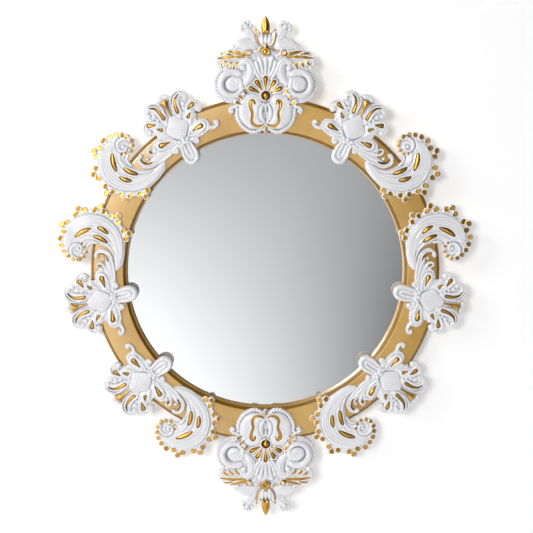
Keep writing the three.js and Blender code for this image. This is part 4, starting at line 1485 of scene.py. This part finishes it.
@dataclass(frozen=True)
class Grained(Finish):
    """Bare wood or pressed fibre: drawn-out fibres in two tones, and darker flecks."""

    name: str = "pressed_fibre_board"
    light: tuple = linear(158, 122, 84)
    dark: tuple = linear(128, 92, 60)
    fleck: tuple = linear(92, 62, 38)
    stretch: tuple = (1.0, 1.0, 0.35)
    scale: float = 700

    def dress(self, nodes: Nodes, shader: bpy.types.Node, place: Signal) -> None:
        """Feeds the shader."""
        drawn = nodes.out("ShaderNodeMapping", {}, {"Vector": place, "Scale": self.stretch})
        fibre = nodes.noise(drawn, self.scale, 4, 0.65)
        fleck = nodes.noise(drawn, self.scale / 4, 3, 0.6).between(0.56, 0.68)
        wood = nodes.mix(fibre.between(0.3, 0.72), self.dark, self.light)
        self.set(nodes, shader, Base_Color=nodes.mix(fleck * 0.5, wood, self.fleck))
        self.set(nodes, shader, Roughness=0.72 + 0.15 * fibre, Normal=self.bump(nodes, fibre, 0.00015))


@dataclass(frozen=True)
class Metal(Finish):
    """Pressed or turned metal with a brushed grain and a few duller patches."""

    name: str = "metal"
    bright: tuple = linear(196, 196, 192)
    dull: tuple = linear(150, 150, 146)
    roughness: float = 0.3

    def dress(self, nodes: Nodes, shader: bpy.types.Node, place: Signal) -> None:
        """Feeds the shader."""
        drawn = nodes.out("ShaderNodeMapping", {}, {"Vector": place, "Scale": (1.0, 1.0, 0.08)})
        brush, patch = nodes.noise(drawn, 2600, 2), nodes.noise(place, 140, 3)
        tone = nodes.mix(patch.between(0.35, 0.75), self.bright, self.dull)
        self.set(nodes, shader, Base_Color=tone, Metallic=1.0, Roughness=self.roughness + 0.15 * patch)
        self.set(nodes, shader, Normal=self.bump(nodes, brush, 0.00003))


# --- pieces


@dataclass(frozen=True)
class Placement:
    """Where an ornament sits on the ring.

    Attributes:
        angle: Degrees clockwise from the top.
        radius: From the ring's centre to the drawing's origin, in millimetres.
        side: 1, or -1 where the drawing is mirrored.
        lean: Degrees that the ornament turns about its own origin.
    """

    angle: float
    radius: float
    side: int = 1
    lean: float = 0.0


@dataclass(frozen=True)
class Levels:
    """Distances from the wall and places on it, in millimetres."""

    ring_back: float = 8.0
    board_front: float = 12.0
    glass_back: float = 12.3
    glass_front: float = 17.3
    rebate_top: float = 17.6
    ring_front: float = 34.0
    ornament_back: float = 34.3
    centre: float = RING_CENTRE


def linked(name: str, data: bpy.types.ID) -> Piece:
    """Puts a new object with the given data into the scene."""
    made = bpy.data.objects.new(name, data)
    bpy.context.scene.collection.objects.link(made)
    return made


def piece_from(name: str, points: Iterable, faces: Iterable, slots: Sequence[Material]) -> Piece:
    """Makes an object from points in metres and faces, with its material slots."""
    mesh = bpy.data.meshes.new(name)
    mesh.from_pydata([tuple(p) for p in points], [], [tuple(f) for f in faces])
    for material in slots:
        mesh.materials.append(material)
    mesh.validate()
    mesh.update()
    return linked(name, mesh)


def smooth_over(mesh: bpy.types.Mesh, angle: float) -> None:
    """Shades a mesh smooth, with sharp edges where its faces meet at more than an angle in degrees."""
    mesh.shade_smooth()
    mesh.set_sharp_from_angle(angle=math.radians(angle))


def applied(piece: Piece) -> Piece:
    """Bakes a piece's modifiers into its mesh."""
    graph = bpy.context.evaluated_depsgraph_get()
    mesh = bpy.data.meshes.new_from_object(piece.evaluated_get(graph))
    mesh.name = piece.name
    piece.modifiers.clear()
    piece.data = mesh
    return piece


def declare(piece: Piece, body: str, slot: str, *nodes: str) -> None:
    """Attaches a piece to the body that it rides on, hides the imported nodes that it stands for and logs its
    faces.
    """
    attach(piece, body)
    if nodes:
        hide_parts(*nodes)
    LOG.info("%s: %d faces, rides on %s", piece.name, len(piece.data.polygons), body)


@dataclass
class Ornaments:
    """The fourteen porcelain ornaments."""

    levels: Levels
    glaze: Material
    bisque: Material
    fine: float = 0.7
    rough: float = 1.6
    pair_angles: tuple = (31.0, -99.4, 131.2)
    paisley_turn: float = 17.0
    lean: float = 4.5
    crest_radius: float = 333
    palmette_radius: float = 318
    paisley_radius: float = 354

    def placements(self) -> dict[str, tuple[str, Placement]]:
        """Returns each ornament's kind and place by its name."""
        places = {
            f"crest_{name}": ("crest", Placement(angle, self.crest_radius))
            for name, angle in (("top", 0), ("bottom", 180))
        }
        rights = ("upper_right", "middle_left", "lower_right")
        lefts = ("upper_left", "middle_right", "lower_left")
        for side, names in ((1, rights), (-1, lefts)):
            for name, angle in zip(names, self.pair_angles):
                palmette = Placement(side * angle, self.palmette_radius, side, side * self.lean)
                paisley = Placement(side * (angle + self.paisley_turn), self.paisley_radius, side)
                places[f"palmette_{name}"] = ("palmette", palmette)
                places[f"paisley_{name}"] = ("paisley", paisley)
        return places

    def shells(self) -> dict[str, Shell]:
        """Draws the three reliefs and makes their shells."""
        pitch = self.fine
        drawings = {"palmette": Palmette(pitch), "paisley": Paisley(pitch), "crest": Crest(pitch)}
        return {kind: ShellMaker(drawing.drawn()).make() for kind, drawing in drawings.items()}

    def placed(self, points: Grid, place: Placement) -> Grid:
        """Returns points of a drawing in the room, in metres."""
        lean, turn = math.radians(place.lean), math.radians(place.angle)
        x, y, height = points[:, 0] * place.side, points[:, 1], points[:, 2]
        u = x * math.cos(lean) - y * math.sin(lean)
        v = x * math.sin(lean) + y * math.cos(lean) + place.radius
        right = u * math.cos(turn) + v * math.sin(turn)
        up = v * math.cos(turn) - u * math.sin(turn)
        return np.column_stack([right, -self.levels.ornament_back - height, up + self.levels.centre]) * MM

    def build(self) -> None:
        """Builds every ornament."""
        shells = self.shells()
        for name, (kind, place) in self.placements().items():
            shell = shells[kind]
            faces = shell.front + shell.back
            if place.side < 0:
                faces = [tuple(reversed(face)) for face in faces]
            points = self.placed(shell.points, place)
            piece = piece_from(f"{name}_porcelain", points, faces, [self.glaze, self.bisque])
            mesh = piece.data
            behind = np.arange(len(mesh.polygons)) >= len(shell.front)
            mesh.polygons.foreach_set("material_index", behind.astype(np.int32))
            mesh.polygons.foreach_set("use_smooth", ~behind)
            # gilt marks the gilding; hollow carries the painted crease shade to the glaze
            for label, values in (("gilt", shell.gilt), ("hollow", shell.hollow)):
                marks = mesh.attributes.new(label, "FLOAT", "POINT")
                marks.data.foreach_set("value", values.astype(np.float32))
            declare(piece, "mirror", "porcelain", name)


@dataclass
class Sweep:
    """A Geometry Nodes tree that carries a profile round the ring's centre."""

    segments: int = ROUND_STEPS

    def tree(self) -> bpy.types.NodeTree:
        """Builds the tree, with the profile, the circle, its centre and the finish as inputs."""
        inputs = {"Profile": "Geometry", "Segments": "Int", "Radius": "Float", "Centre": "Vector"}
        nodes, given = open_tree("sweep_round", {**inputs, "Finish": "Material"})
        line = nodes.node("GeometryNodeMeshToCurve", {}, {0: given["Profile"]})
        sockets = {"Resolution": given["Segments"], "Radius": given["Radius"]}
        circle = nodes.node("GeometryNodeCurvePrimitiveCircle", {}, sockets)
        sockets = {"Curve": circle.outputs[0], "Profile Curve": line.outputs[0]}
        swept = nodes.node("GeometryNodeCurveToMesh", {}, sockets)
        sockets = {"Geometry": swept.outputs[0], "Translation": given["Centre"]}
        sockets["Rotation"] = (math.pi / 2, 0, 0)
        moved = nodes.node("GeometryNodeTransform", {}, sockets)
        return close_tree(nodes, moved, given["Finish"])

    def sweep(
        self, name: str, profile: Sequence[Point], radius: float, centre: float, finish: Material
    ) -> Piece:
        """Sweeps a closed profile round the ring's centre.

        Args:
            name: Name of the piece.
            profile: Points (radius, distance from the wall), in millimetres.
            radius: Radius of the circle that carries it, in millimetres.
            centre: Height of the ring's centre, in millimetres.
            finish: Material of the piece.

        Returns:
            The plain mesh, facing outwards.
        """
        points = [((r - radius) * MM, -level * MM, 0.0) for r, level in profile]
        mesh = bpy.data.meshes.new(name)
        mesh.from_pydata(points, [(i, (i + 1) % len(points)) for i in range(len(points))], [])
        given = {"Segments": self.segments, "Radius": radius * MM, "Finish": finish}
        given["Centre"] = (0.0, 0.0, centre * MM)
        return grown(linked(name, mesh), self.tree(), given)


def open_tree(name: str, inputs: dict[str, str]) -> tuple[Nodes, bpy.types.NodeInputs]:
    """Makes a Geometry Nodes tree.

    Args:
        name: Its name.
        inputs: The kind of each of its inputs, by name.

    Returns:
        The tree's nodes, and the sockets that its inputs come in by.
    """
    group = bpy.data.node_groups.new(name, "GeometryNodeTree")
    for label, kind in inputs.items():
        group.interface.new_socket(label, in_out="INPUT", socket_type=f"NodeSocket{kind}")
    group.interface.new_socket("Shape", in_out="OUTPUT", socket_type="NodeSocketGeometry")
    nodes = Nodes(group)
    return nodes, nodes.node("NodeGroupInput").outputs


def close_tree(nodes: Nodes, last: bpy.types.Node, finish: bpy.types.NodeSocket) -> bpy.types.NodeTree:
    """Has a tree give what its last node makes, as real faces with their finish, and returns it."""
    real = nodes.node("GeometryNodeRealizeInstances", {}, {0: last.outputs[0]})
    sockets = {"Geometry": real.outputs[0], "Material": finish}
    dressed = nodes.node("GeometryNodeSetMaterial", {}, sockets)
    nodes.node("NodeGroupOutput", {}, {0: dressed.outputs[0]})
    return nodes.tree


def grown(piece: Piece, group: bpy.types.NodeTree, given: dict[str, object]) -> Piece:
    """Runs a Geometry Nodes tree on a piece and bakes its result.

    Args:
        piece: The object that carries the tree's starting mesh.
        group: The tree.
        given: Values for the tree's inputs, by name.

    Returns:
        The piece, with a plain mesh that faces outwards.
    """
    modifier = piece.modifiers.new(group.name, "NODES")
    modifier.node_group = group
    for item in group.interface.items_tree:
        if item.name in given:
            modifier[item.identifier] = given[item.name]
    applied(piece)
    shell = bmesh.new()
    shell.from_mesh(piece.data)
    bmesh.ops.remove_doubles(shell, verts=shell.verts, dist=1e-7)
    bmesh.ops.recalc_face_normals(shell, faces=shell.faces)
    shell.to_mesh(piece.data)
    shell.free()
    return piece


def rounded(points: Sequence[Point], radii: Sequence[float], steps: int = 5) -> list[Point]:
    """Rounds the corners of a closed profile.

    Args:
        points: Its corners.
        radii: How far before and after each corner the curve starts and ends.
        steps: Number of stretches in a curve.

    Returns:
        The rounded profile.
    """
    line: list[Point] = []
    for i, (corner, radius) in enumerate(zip(points, radii)):
        if radius == 0:
            line.append(corner)
            continue
        here = Vector(corner)
        before = here + (Vector(points[i - 1]) - here).normalized() * radius
        after = here + (Vector(points[(i + 1) % len(points)]) - here).normalized() * radius
        for step in range(steps + 1):
            t = step / steps
            spot = before * (1 - t) ** 2 + here * 2 * t * (1 - t) + after * t**2
            line.append((spot.x, spot.y))
    return line


@dataclass
class Frame:
    """The gilded ring, the glass in it and the board behind the glass."""

    levels: Levels
    gold: Material
    glass: Material
    backing: Material
    board: Material
    wood: Material
    sight: float = 263.0
    rebate: float = 272.0
    disc: float = 271.5
    face_inner: float = 270.5
    face_outer: float = 325.0
    outer: float = 331.0
    carrier: float = 300.0
    hanger: Point = (193.80, 230.962)
    pocket: tuple = (4.5, 7.0, 6.0, 17.0)

    def ring(self) -> None:
        """Builds the ring: back, outer side, chamfer, flat face, step, cove, bead and rebate."""
        low = self.levels
        corners = (
            ((self.rebate, low.ring_back), 0.5),
            ((self.outer, low.ring_back), 0.8),
            ((self.outer, low.ring_front - 5.0), 1.6),
            ((self.face_outer, low.ring_front), 1.6),
            ((self.face_inner, low.ring_front), 0.35),
            ((self.face_inner - 1.0, low.ring_front - 1.5), 0.4),
            ((self.face_inner - 1.9, low.ring_front - 3.0), 0.6),
            ((self.face_inner - 3.6, low.ring_front - 6.2), 0.9),
            ((self.face_inner - 5.0, low.ring_front - 7.0), 0.3),
            ((self.face_inner - 6.2, low.ring_front - 6.6), 0.6),
            ((self.sight, low.ring_front - 8.2), 0.5),
            ((self.sight, low.rebate_top), 0.4),
            ((self.rebate, low.rebate_top), 0.0),
        )
        profile = rounded([c for c, _ in corners], [r for _, r in corners])
        ring = Sweep().sweep("gilded_ring", profile, self.carrier, low.centre, self.gold)
        self.cut_pockets(ring)
        ring.data.materials.append(self.wood)
        for face in ring.data.polygons:
            height = -face.center.y / MM
            from_centre = math.hypot(face.center.x, face.center.z - low.centre * MM) / MM
            in_rebate = from_centre < self.rebate + 0.3 and height < low.rebate_top + 0.2
            if height < low.ring_back + 0.3 or in_rebate:
                face.material_index = 1
        smooth_over(ring.data, 28)
        declare(ring, "mirror", "gilded_wood", "ring_frame")

    def cut_pockets(self, ring: Piece) -> None:
        """Cuts the two pockets behind the keyholes out of the ring's back."""
        shell = bmesh.new()
        for side in (-1, 1):
            x, z = side * self.hanger[0], self.hanger[1] + self.levels.centre - 6.0
            half, head, low, high = self.pocket
            top = [(x + dx, z + dz) for dx, dz in arc((0, 14), half, half, 0, 180, 10)]
            bottom = [(x + dx, z + dz) for dx, dz in arc((0, 0), head, head, 130, 410, 20)]
            rings = []
            for level in (low, high):
                rings.append([shell.verts.new((px * MM, -level * MM, pz * MM)) for px, pz in top + bottom])
            shell.faces.new(rings[0])
            shell.faces.new(list(reversed(rings[1])))
            for i in range(len(rings[0])):
                j = (i + 1) % len(rings[0])
                shell.faces.new((rings[0][j], rings[0][i], rings[1][i], rings[1][j]))
        bmesh.ops.recalc_face_normals(shell, faces=shell.faces)
        mesh = bpy.data.meshes.new("pocket_cutter")
        shell.to_mesh(mesh)
        shell.free()
        cutter = linked("pocket_cutter", mesh)
        cut = ring.modifiers.new("pockets", "BOOLEAN")
        cut.operation, cut.solver, cut.object = "DIFFERENCE", "EXACT", cutter
        applied(ring)
        bpy.data.objects.remove(cutter)

    def flat_disc(
        self, name: str, back: float, front: float, soft: float, slots: Sequence[Material]
    ) -> Piece:
        """Builds a flat round sheet with a softened edge.

        Args:
            name: Name of the piece.
            back: Distance of its back from the wall, in millimetres.
            front: Distance of its front.
            soft: Width of the bevel round its edge.
            slots: Materials of the front and edge, and of the back.

        Returns:
            The piece.
        """
        inner = self.disc - soft
        rings = ((inner, front), (self.disc, front - soft), (self.disc, back + soft), (inner, back))
        count = ROUND_STEPS
        turns = np.linspace(0, 2 * math.pi, count, endpoint=False)
        points = [
            (r * math.cos(t) * MM, -level * MM, (self.levels.centre + r * math.sin(t)) * MM)
            for r, level in rings for t in turns
        ]
        faces = [tuple(range(count)), tuple(reversed(range(3 * count, 4 * count)))]
        for row in range(3):
            for i in range(count):
                j = (i + 1) % count
                faces.append((row * count + j, row * count + i, (row + 1) * count + i, (row + 1) * count + j))
        piece = piece_from(name, points, faces, slots)
        piece.data.polygons[1].material_index = 1
        smooth_over(piece.data, 20)
        return piece

    def build(self) -> None:
        """Builds the ring, the glass and the board."""
        low = self.levels
        self.ring()
        glass = self.flat_disc("flat_glass", low.glass_back, low.glass_front, 0.5, [self.glass, self.backing])
        declare(glass, "mirror", "mirror", "mirror_glass")
        board = self.flat_disc("fibre_board", low.ring_back, low.board_front, 0.4, [self.board, self.board])
        declare(board, "mirror", "board", "backing_board")


class Light(Enum):
    """The studio's lamps: place and target in metres, size in metres, power in watts and colour."""

    KEY = ((-1.55, -3.9, 0.75), (0.0, 0.0, -0.2), 1.4, 84.0, (1.0, 0.997, 0.992))
    RAKE = ((-3.7, -2.7, 2.3), (0.0, 0.0, -0.2), 1.8, 62.0, (1.0, 0.997, 0.992))
    FILL = ((1.9, -2.9, 0.4), (0.0, 0.0, -0.3), 1.8, 2.0, (0.97, 0.985, 1.0))
    BEHIND = ((0.7, 1.9, 0.9), (0.0, 0.0, -0.2), 1.6, 34.0, (1.0, 1.0, 1.0))


@dataclass
class Studio:
    """The camera, the lamps, the wall, the floor and the room that the gloss reflects.

    Attributes:
        eye: Where the camera stands, in metres.
        forward: Which way it looks.
        lens: Its focal length, in millimetres.
        sensor: Width of its sensor, in millimetres.
        ambient: Strength of the room's even light.
        glow: Light that the wall gives of itself, which keeps it white.
        behind: Distance of the wall's paint behind the object, in metres.
        floor: Height of the floor, in metres.
        far: Height of the wall's top, half its width and depth of the floor, in metres.
    """

    eye: tuple = (-0.040, -2.308, 0.118)
    forward: tuple = (0.018, 0.989, -0.149)
    lens: float = 82.0
    sensor: float = 36.0
    ambient: float = 0.16
    glow: float = 0.24
    behind: float = 0.0003
    floor: float = -1.45
    far: tuple = (3.0, 4.0, 2.2)

    def camera(self) -> None:
        """Sets the camera at the photograph's angle."""
        data = bpy.data.cameras.new("camera")
        data.lens, data.sensor_width = self.lens, self.sensor
        data.clip_end = 50.0
        camera = linked("camera", data)
        camera.location = self.eye
        camera.rotation_euler = Vector(self.forward).to_track_quat("-Z", "Y").to_euler()
        bpy.context.scene.camera = camera

    def lamps(self) -> None:
        """Hangs the lamps."""
        for light in Light:
            place, target, size, power, colour = light.value
            data = bpy.data.lights.new(light.name.lower(), "AREA")
            data.shape, data.size, data.energy, data.color = "DISK", size, power, colour
            lamp = linked(light.name.lower(), data)
            lamp.location = place
            lamp.rotation_euler = (Vector(target) - Vector(place)).to_track_quat("-Z", "Y").to_euler()

    def room(self) -> None:
        """Sets the world: even light, white to the camera, and a soft gradient to whatever reflects it."""
        world = bpy.data.worlds.new("room")
        world.use_nodes = True
        bpy.context.scene.world = world
        nodes = Nodes(world.node_tree)
        way = nodes.out("ShaderNodeTexCoord", {}, {}, "Generated")
        right, _, above = nodes.split(way)
        near = right.largest(-0.2).smallest(0.2)
        up = above.largest(-0.34).smallest(0.02)
        card = 0.45 - 2.2 * up + (0.46 + 25.0 * up) * near - 4.0 * near * near
        window = right.between(0.17, 0.3, 1.0, 0.08) * above.between(0.04, 0.3, 1.0, 0.3)
        box = right.between(-0.14, -0.4, 0.0, 1.35) * above.between(-0.4, 0.0, 0.3, 1.0)
        level = card.largest(0.22).smallest(1.8) * window + box
        ray = nodes.node("ShaderNodeLightPath")
        glossy = Signal(nodes, ray.outputs["Is Glossy Ray"])
        seen = Signal(nodes, ray.outputs["Is Camera Ray"]).largest(ray.outputs["Is Transmission Ray"])
        strength = seen + (1 - seen) * (glossy * level + (1 - glossy) * self.ambient)
        plain = nodes.node("ShaderNodeBackground", {}, {"Color": WHITE, "Strength": strength})
        nodes.node("ShaderNodeOutputWorld", {}, {"Surface": plain.outputs[0]})

    def backdrop(self) -> Material:
        """Makes the wall's and the floor's paint, which the camera sees white and which keeps shadows."""
        material = bpy.data.materials.new("white_paint")
        material.use_nodes = True
        nodes = Nodes(material.node_tree)
        ray = nodes.node("ShaderNodeLightPath")
        seen = Signal(nodes, ray.outputs["Is Camera Ray"]).largest(ray.outputs["Is Glossy Ray"])
        sockets = {"Base Color": linear(250, 250, 251), "Roughness": 0.9, "Emission Color": WHITE}
        paint = nodes.node("ShaderNodeBsdfPrincipled", {}, sockets)
        nodes.feed(paint.inputs["Emission Strength"], seen * self.glow)
        clear = nodes.node("ShaderNodeBsdfTransparent")
        side = nodes.node("ShaderNodeNewGeometry").outputs["Backfacing"]
        sockets = {0: side, 1: paint.outputs[0], 2: clear.outputs[0]}
        one_sided = nodes.node("ShaderNodeMixShader", {}, sockets)
        nodes.node("ShaderNodeOutputMaterial", {}, {"Surface": one_sided.outputs[0]})
        return material

    def surroundings(self) -> None:
        """Builds the wall that the mirror hangs on and the floor."""
        paint = self.backdrop()
        top, half, depth = self.far

        def sheet(name: str, first: Point, last: Point) -> Piece:
            """Makes a sheet between two level edges, each given by its depth and height."""
            points = [(-half, *first), (half, *first), (half, *last), (-half, *last)]
            return piece_from(name, points, [(0, 1, 2, 3)], [paint])

        wall = sheet("wall", (self.behind, self.floor), (self.behind, top))
        floor = sheet("floor", (-depth, self.floor), (self.behind, self.floor))
        wall.visible_shadow = False
        wall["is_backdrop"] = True
        floor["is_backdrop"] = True

    def build(self) -> None:
        """Sets up the whole studio."""
        self.camera()
        self.lamps()
        self.room()
        self.surroundings()
        bpy.context.scene.view_settings.view_transform = "Standard"


@dataclass(frozen=True)
class Fastener:
    """Sizes of a bolt or a screw, in millimetres. Its head's top lies at the given level from the wall."""

    name: str
    sides: int
    head: float
    thick: float
    shank: float
    length: float
    level: float
    slot: float

    def tree(self) -> bpy.types.NodeTree:
        """Builds the tree that sets one fastener on each point of the mesh that it is given."""
        sizes = ("Head Radius", "Head Depth", "Shank Radius", "Shank Length", "Slot Width")
        inputs = {"Places": "Geometry", "Sides": "Int", **dict.fromkeys(sizes, "Float")}
        nodes, given = open_tree(self.name, {**inputs, "Finish": "Material"})
        radius, depth = Signal(nodes, given["Head Radius"]), Signal(nodes, given["Head Depth"])
        length = Signal(nodes, given["Shank Length"])
        cone = {"Vertices": given["Sides"], "Radius Bottom": radius, "Radius Top": radius * 0.82}
        cone["Depth"] = depth * 0.35
        drum = {"Vertices": given["Sides"], "Radius": radius, "Depth": depth * 0.65}
        pin = {"Vertices": 20, "Radius": given["Shank Radius"], "Depth": length + depth * 0.5}
        parts = (
            ("GeometryNodeMeshCone", cone, depth * -0.35),
            ("GeometryNodeMeshCylinder", drum, depth * -0.675),
            ("GeometryNodeMeshCylinder", pin, length * -0.5 - depth * 0.75),
        )
        solid = nodes.node("GeometryNodeMeshBoolean", {"operation": "UNION"})
        for kind, sockets, height in parts:
            lift = nodes.out("ShaderNodeCombineXYZ", {}, {2: height})
            shape = nodes.node(kind, {}, sockets)
            sockets = {"Geometry": shape.outputs[0], "Translation": lift}
            nodes.feed(solid.inputs["Mesh 2"], nodes.node("GeometryNodeTransform", {}, sockets).outputs[0])
        size = nodes.out("ShaderNodeCombineXYZ", {}, {0: given["Slot Width"], 1: radius * 3, 2: depth * 0.7})
        bar = nodes.node("GeometryNodeMeshCube", {}, {"Size": size})
        cut = {"Mesh 1": solid.outputs[0], "Mesh 2": bar.outputs[0]}
        slotted = nodes.node("GeometryNodeMeshBoolean", {"operation": "DIFFERENCE"}, cut)
        points = nodes.node("GeometryNodeMeshToPoints", {}, {0: given["Places"]})
        turn = {"Points": points.outputs[0], "Instance": slotted.outputs[0], "Rotation": (-math.pi / 2, 0, 0)}
        spread = nodes.node("GeometryNodeInstanceOnPoints", {}, turn)
        return close_tree(nodes, spread, given["Finish"])

    def fit(self, stand_ins: Sequence[str], slot: str, finish: Material) -> None:
        """Sets a fastener at each packed one and takes their place."""
        middles = [(Vector(low) + Vector(high)) / 2 for low, high in map(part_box, stand_ins)]
        piece = piece_from(self.name, [(m[0], -self.level * MM, m[2]) for m in middles], [], [])
        given = {"Sides": self.sides, "Finish": finish, "Slot Width": self.slot * MM}
        given |= {"Head Radius": self.head * MM, "Head Depth": self.thick * MM}
        given |= {"Shank Radius": self.shank * MM, "Shank Length": self.length * MM}
        grown(piece, self.tree(), given)
        smooth_over(piece.data, 20)
        declare(piece, "mirror", slot, *stand_ins)


@dataclass
class Hardware:
    """What the back carries: bolts, screws, hanger plates, turn buttons and bumpers."""

    steel: Material
    brass: Material
    rubber: Material
    bolt: Fastener = Fastener("ornament_bolts", 6, 5.0, 2.5, 2.5, 31.8, 5.2, 0.0)
    screw: Fastener = Fastener("hanger_screws", 28, 3.6, 1.6, 1.85, 14.6, 3.8, 0.9)
    pivot: Fastener = Fastener("pivot_screws", 28, 3.6, 1.6, 1.85, 14.6, 3.8, 0.9)

    @staticmethod
    def eased(node: Piece, body: str, slot: str, finish: Material, edge: float) -> None:
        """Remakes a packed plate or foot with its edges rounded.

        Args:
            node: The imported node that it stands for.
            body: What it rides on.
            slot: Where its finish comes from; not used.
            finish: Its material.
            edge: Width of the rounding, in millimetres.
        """
        shell = bmesh.new()
        shell.from_mesh(node.data)
        shell.transform(node.matrix_world)
        bmesh.ops.remove_doubles(shell, verts=shell.verts, dist=1e-6)
        bmesh.ops.dissolve_limit(shell, angle_limit=math.radians(1), verts=shell.verts, edges=shell.edges)
        bmesh.ops.recalc_face_normals(shell, faces=shell.faces)
        piece = piece_from(f"{node.name}_eased", [], [], [])
        shell.to_mesh(piece.data)
        shell.free()
        bevel = piece.modifiers.new("edge", "BEVEL")
        bevel.width, bevel.segments = edge * MM, 3
        bevel.limit_method, bevel.angle_limit = "ANGLE", math.radians(40)
        applied(piece)
        piece.data.materials.clear()
        piece.data.materials.append(finish)
        smooth_over(piece.data, 30)
        declare(piece, body, slot, node.name)

    def build(self, nodes: dict[str, Piece]) -> None:
        """Builds everything on the back."""
        sets = (
            ("_bolt", self.bolt, "steel", self.steel),
            ("hanger_screw", self.screw, "steel", self.steel),
            ("turn_button_screw", self.pivot, "brass", self.brass),
        )
        fitted = set()
        for mark, fastener, slot, finish in sets:
            chosen = [name for name in nodes if mark in name]
            fastener.fit(chosen, slot, finish)
            fitted.update(chosen)
        eased = (
            ("turn_button", "brass", self.brass, 0.35),
            ("hanger", "steel", self.steel, 0.3),
            ("wall_bumper", "rubber", self.rubber, 1.6),
        )
        for name, node in nodes.items():
            for mark, slot, finish, edge in eased:
                if name.startswith(mark) and name not in fitted:
                    body = name if mark == "turn_button" else "mirror"
                    self.eased(node, body, slot, finish, edge)


def corners() -> list[list[float]]:
    """Returns the whole object's box as plain lists."""
    return [[float(v) for v in corner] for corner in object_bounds()]


def main() -> None:
    """Builds the scene."""
    logging.basicConfig(level=logging.INFO, format="%(name)s: %(message)s")
    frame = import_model()
    levels = Levels()
    Studio().build()
    Hardware(
        Metal("pressed_steel").material(),
        Metal("turned_brass", linear(214, 170, 88), linear(168, 124, 58), 0.28).material(),
        Painted("moulded_rubber", linear(44, 44, 44), linear(30, 30, 31), 0.75).material(),
    ).build(frame["nodes"])
    Frame(
        levels,
        GoldLeaf().material(),
        Silvering().material(),
        Painted("backing_paint").material(),
        Grained().material(),
        Grained(
            "bare_wood_back", linear(206, 172, 124), linear(180, 144, 98), linear(158, 120, 76),
            (0.1, 1, 1), 420,
        ).material(),
    ).build()
    Ornaments(levels, Porcelain().material(), Bisque().material()).build()


if __name__ == "__main__":
    main()
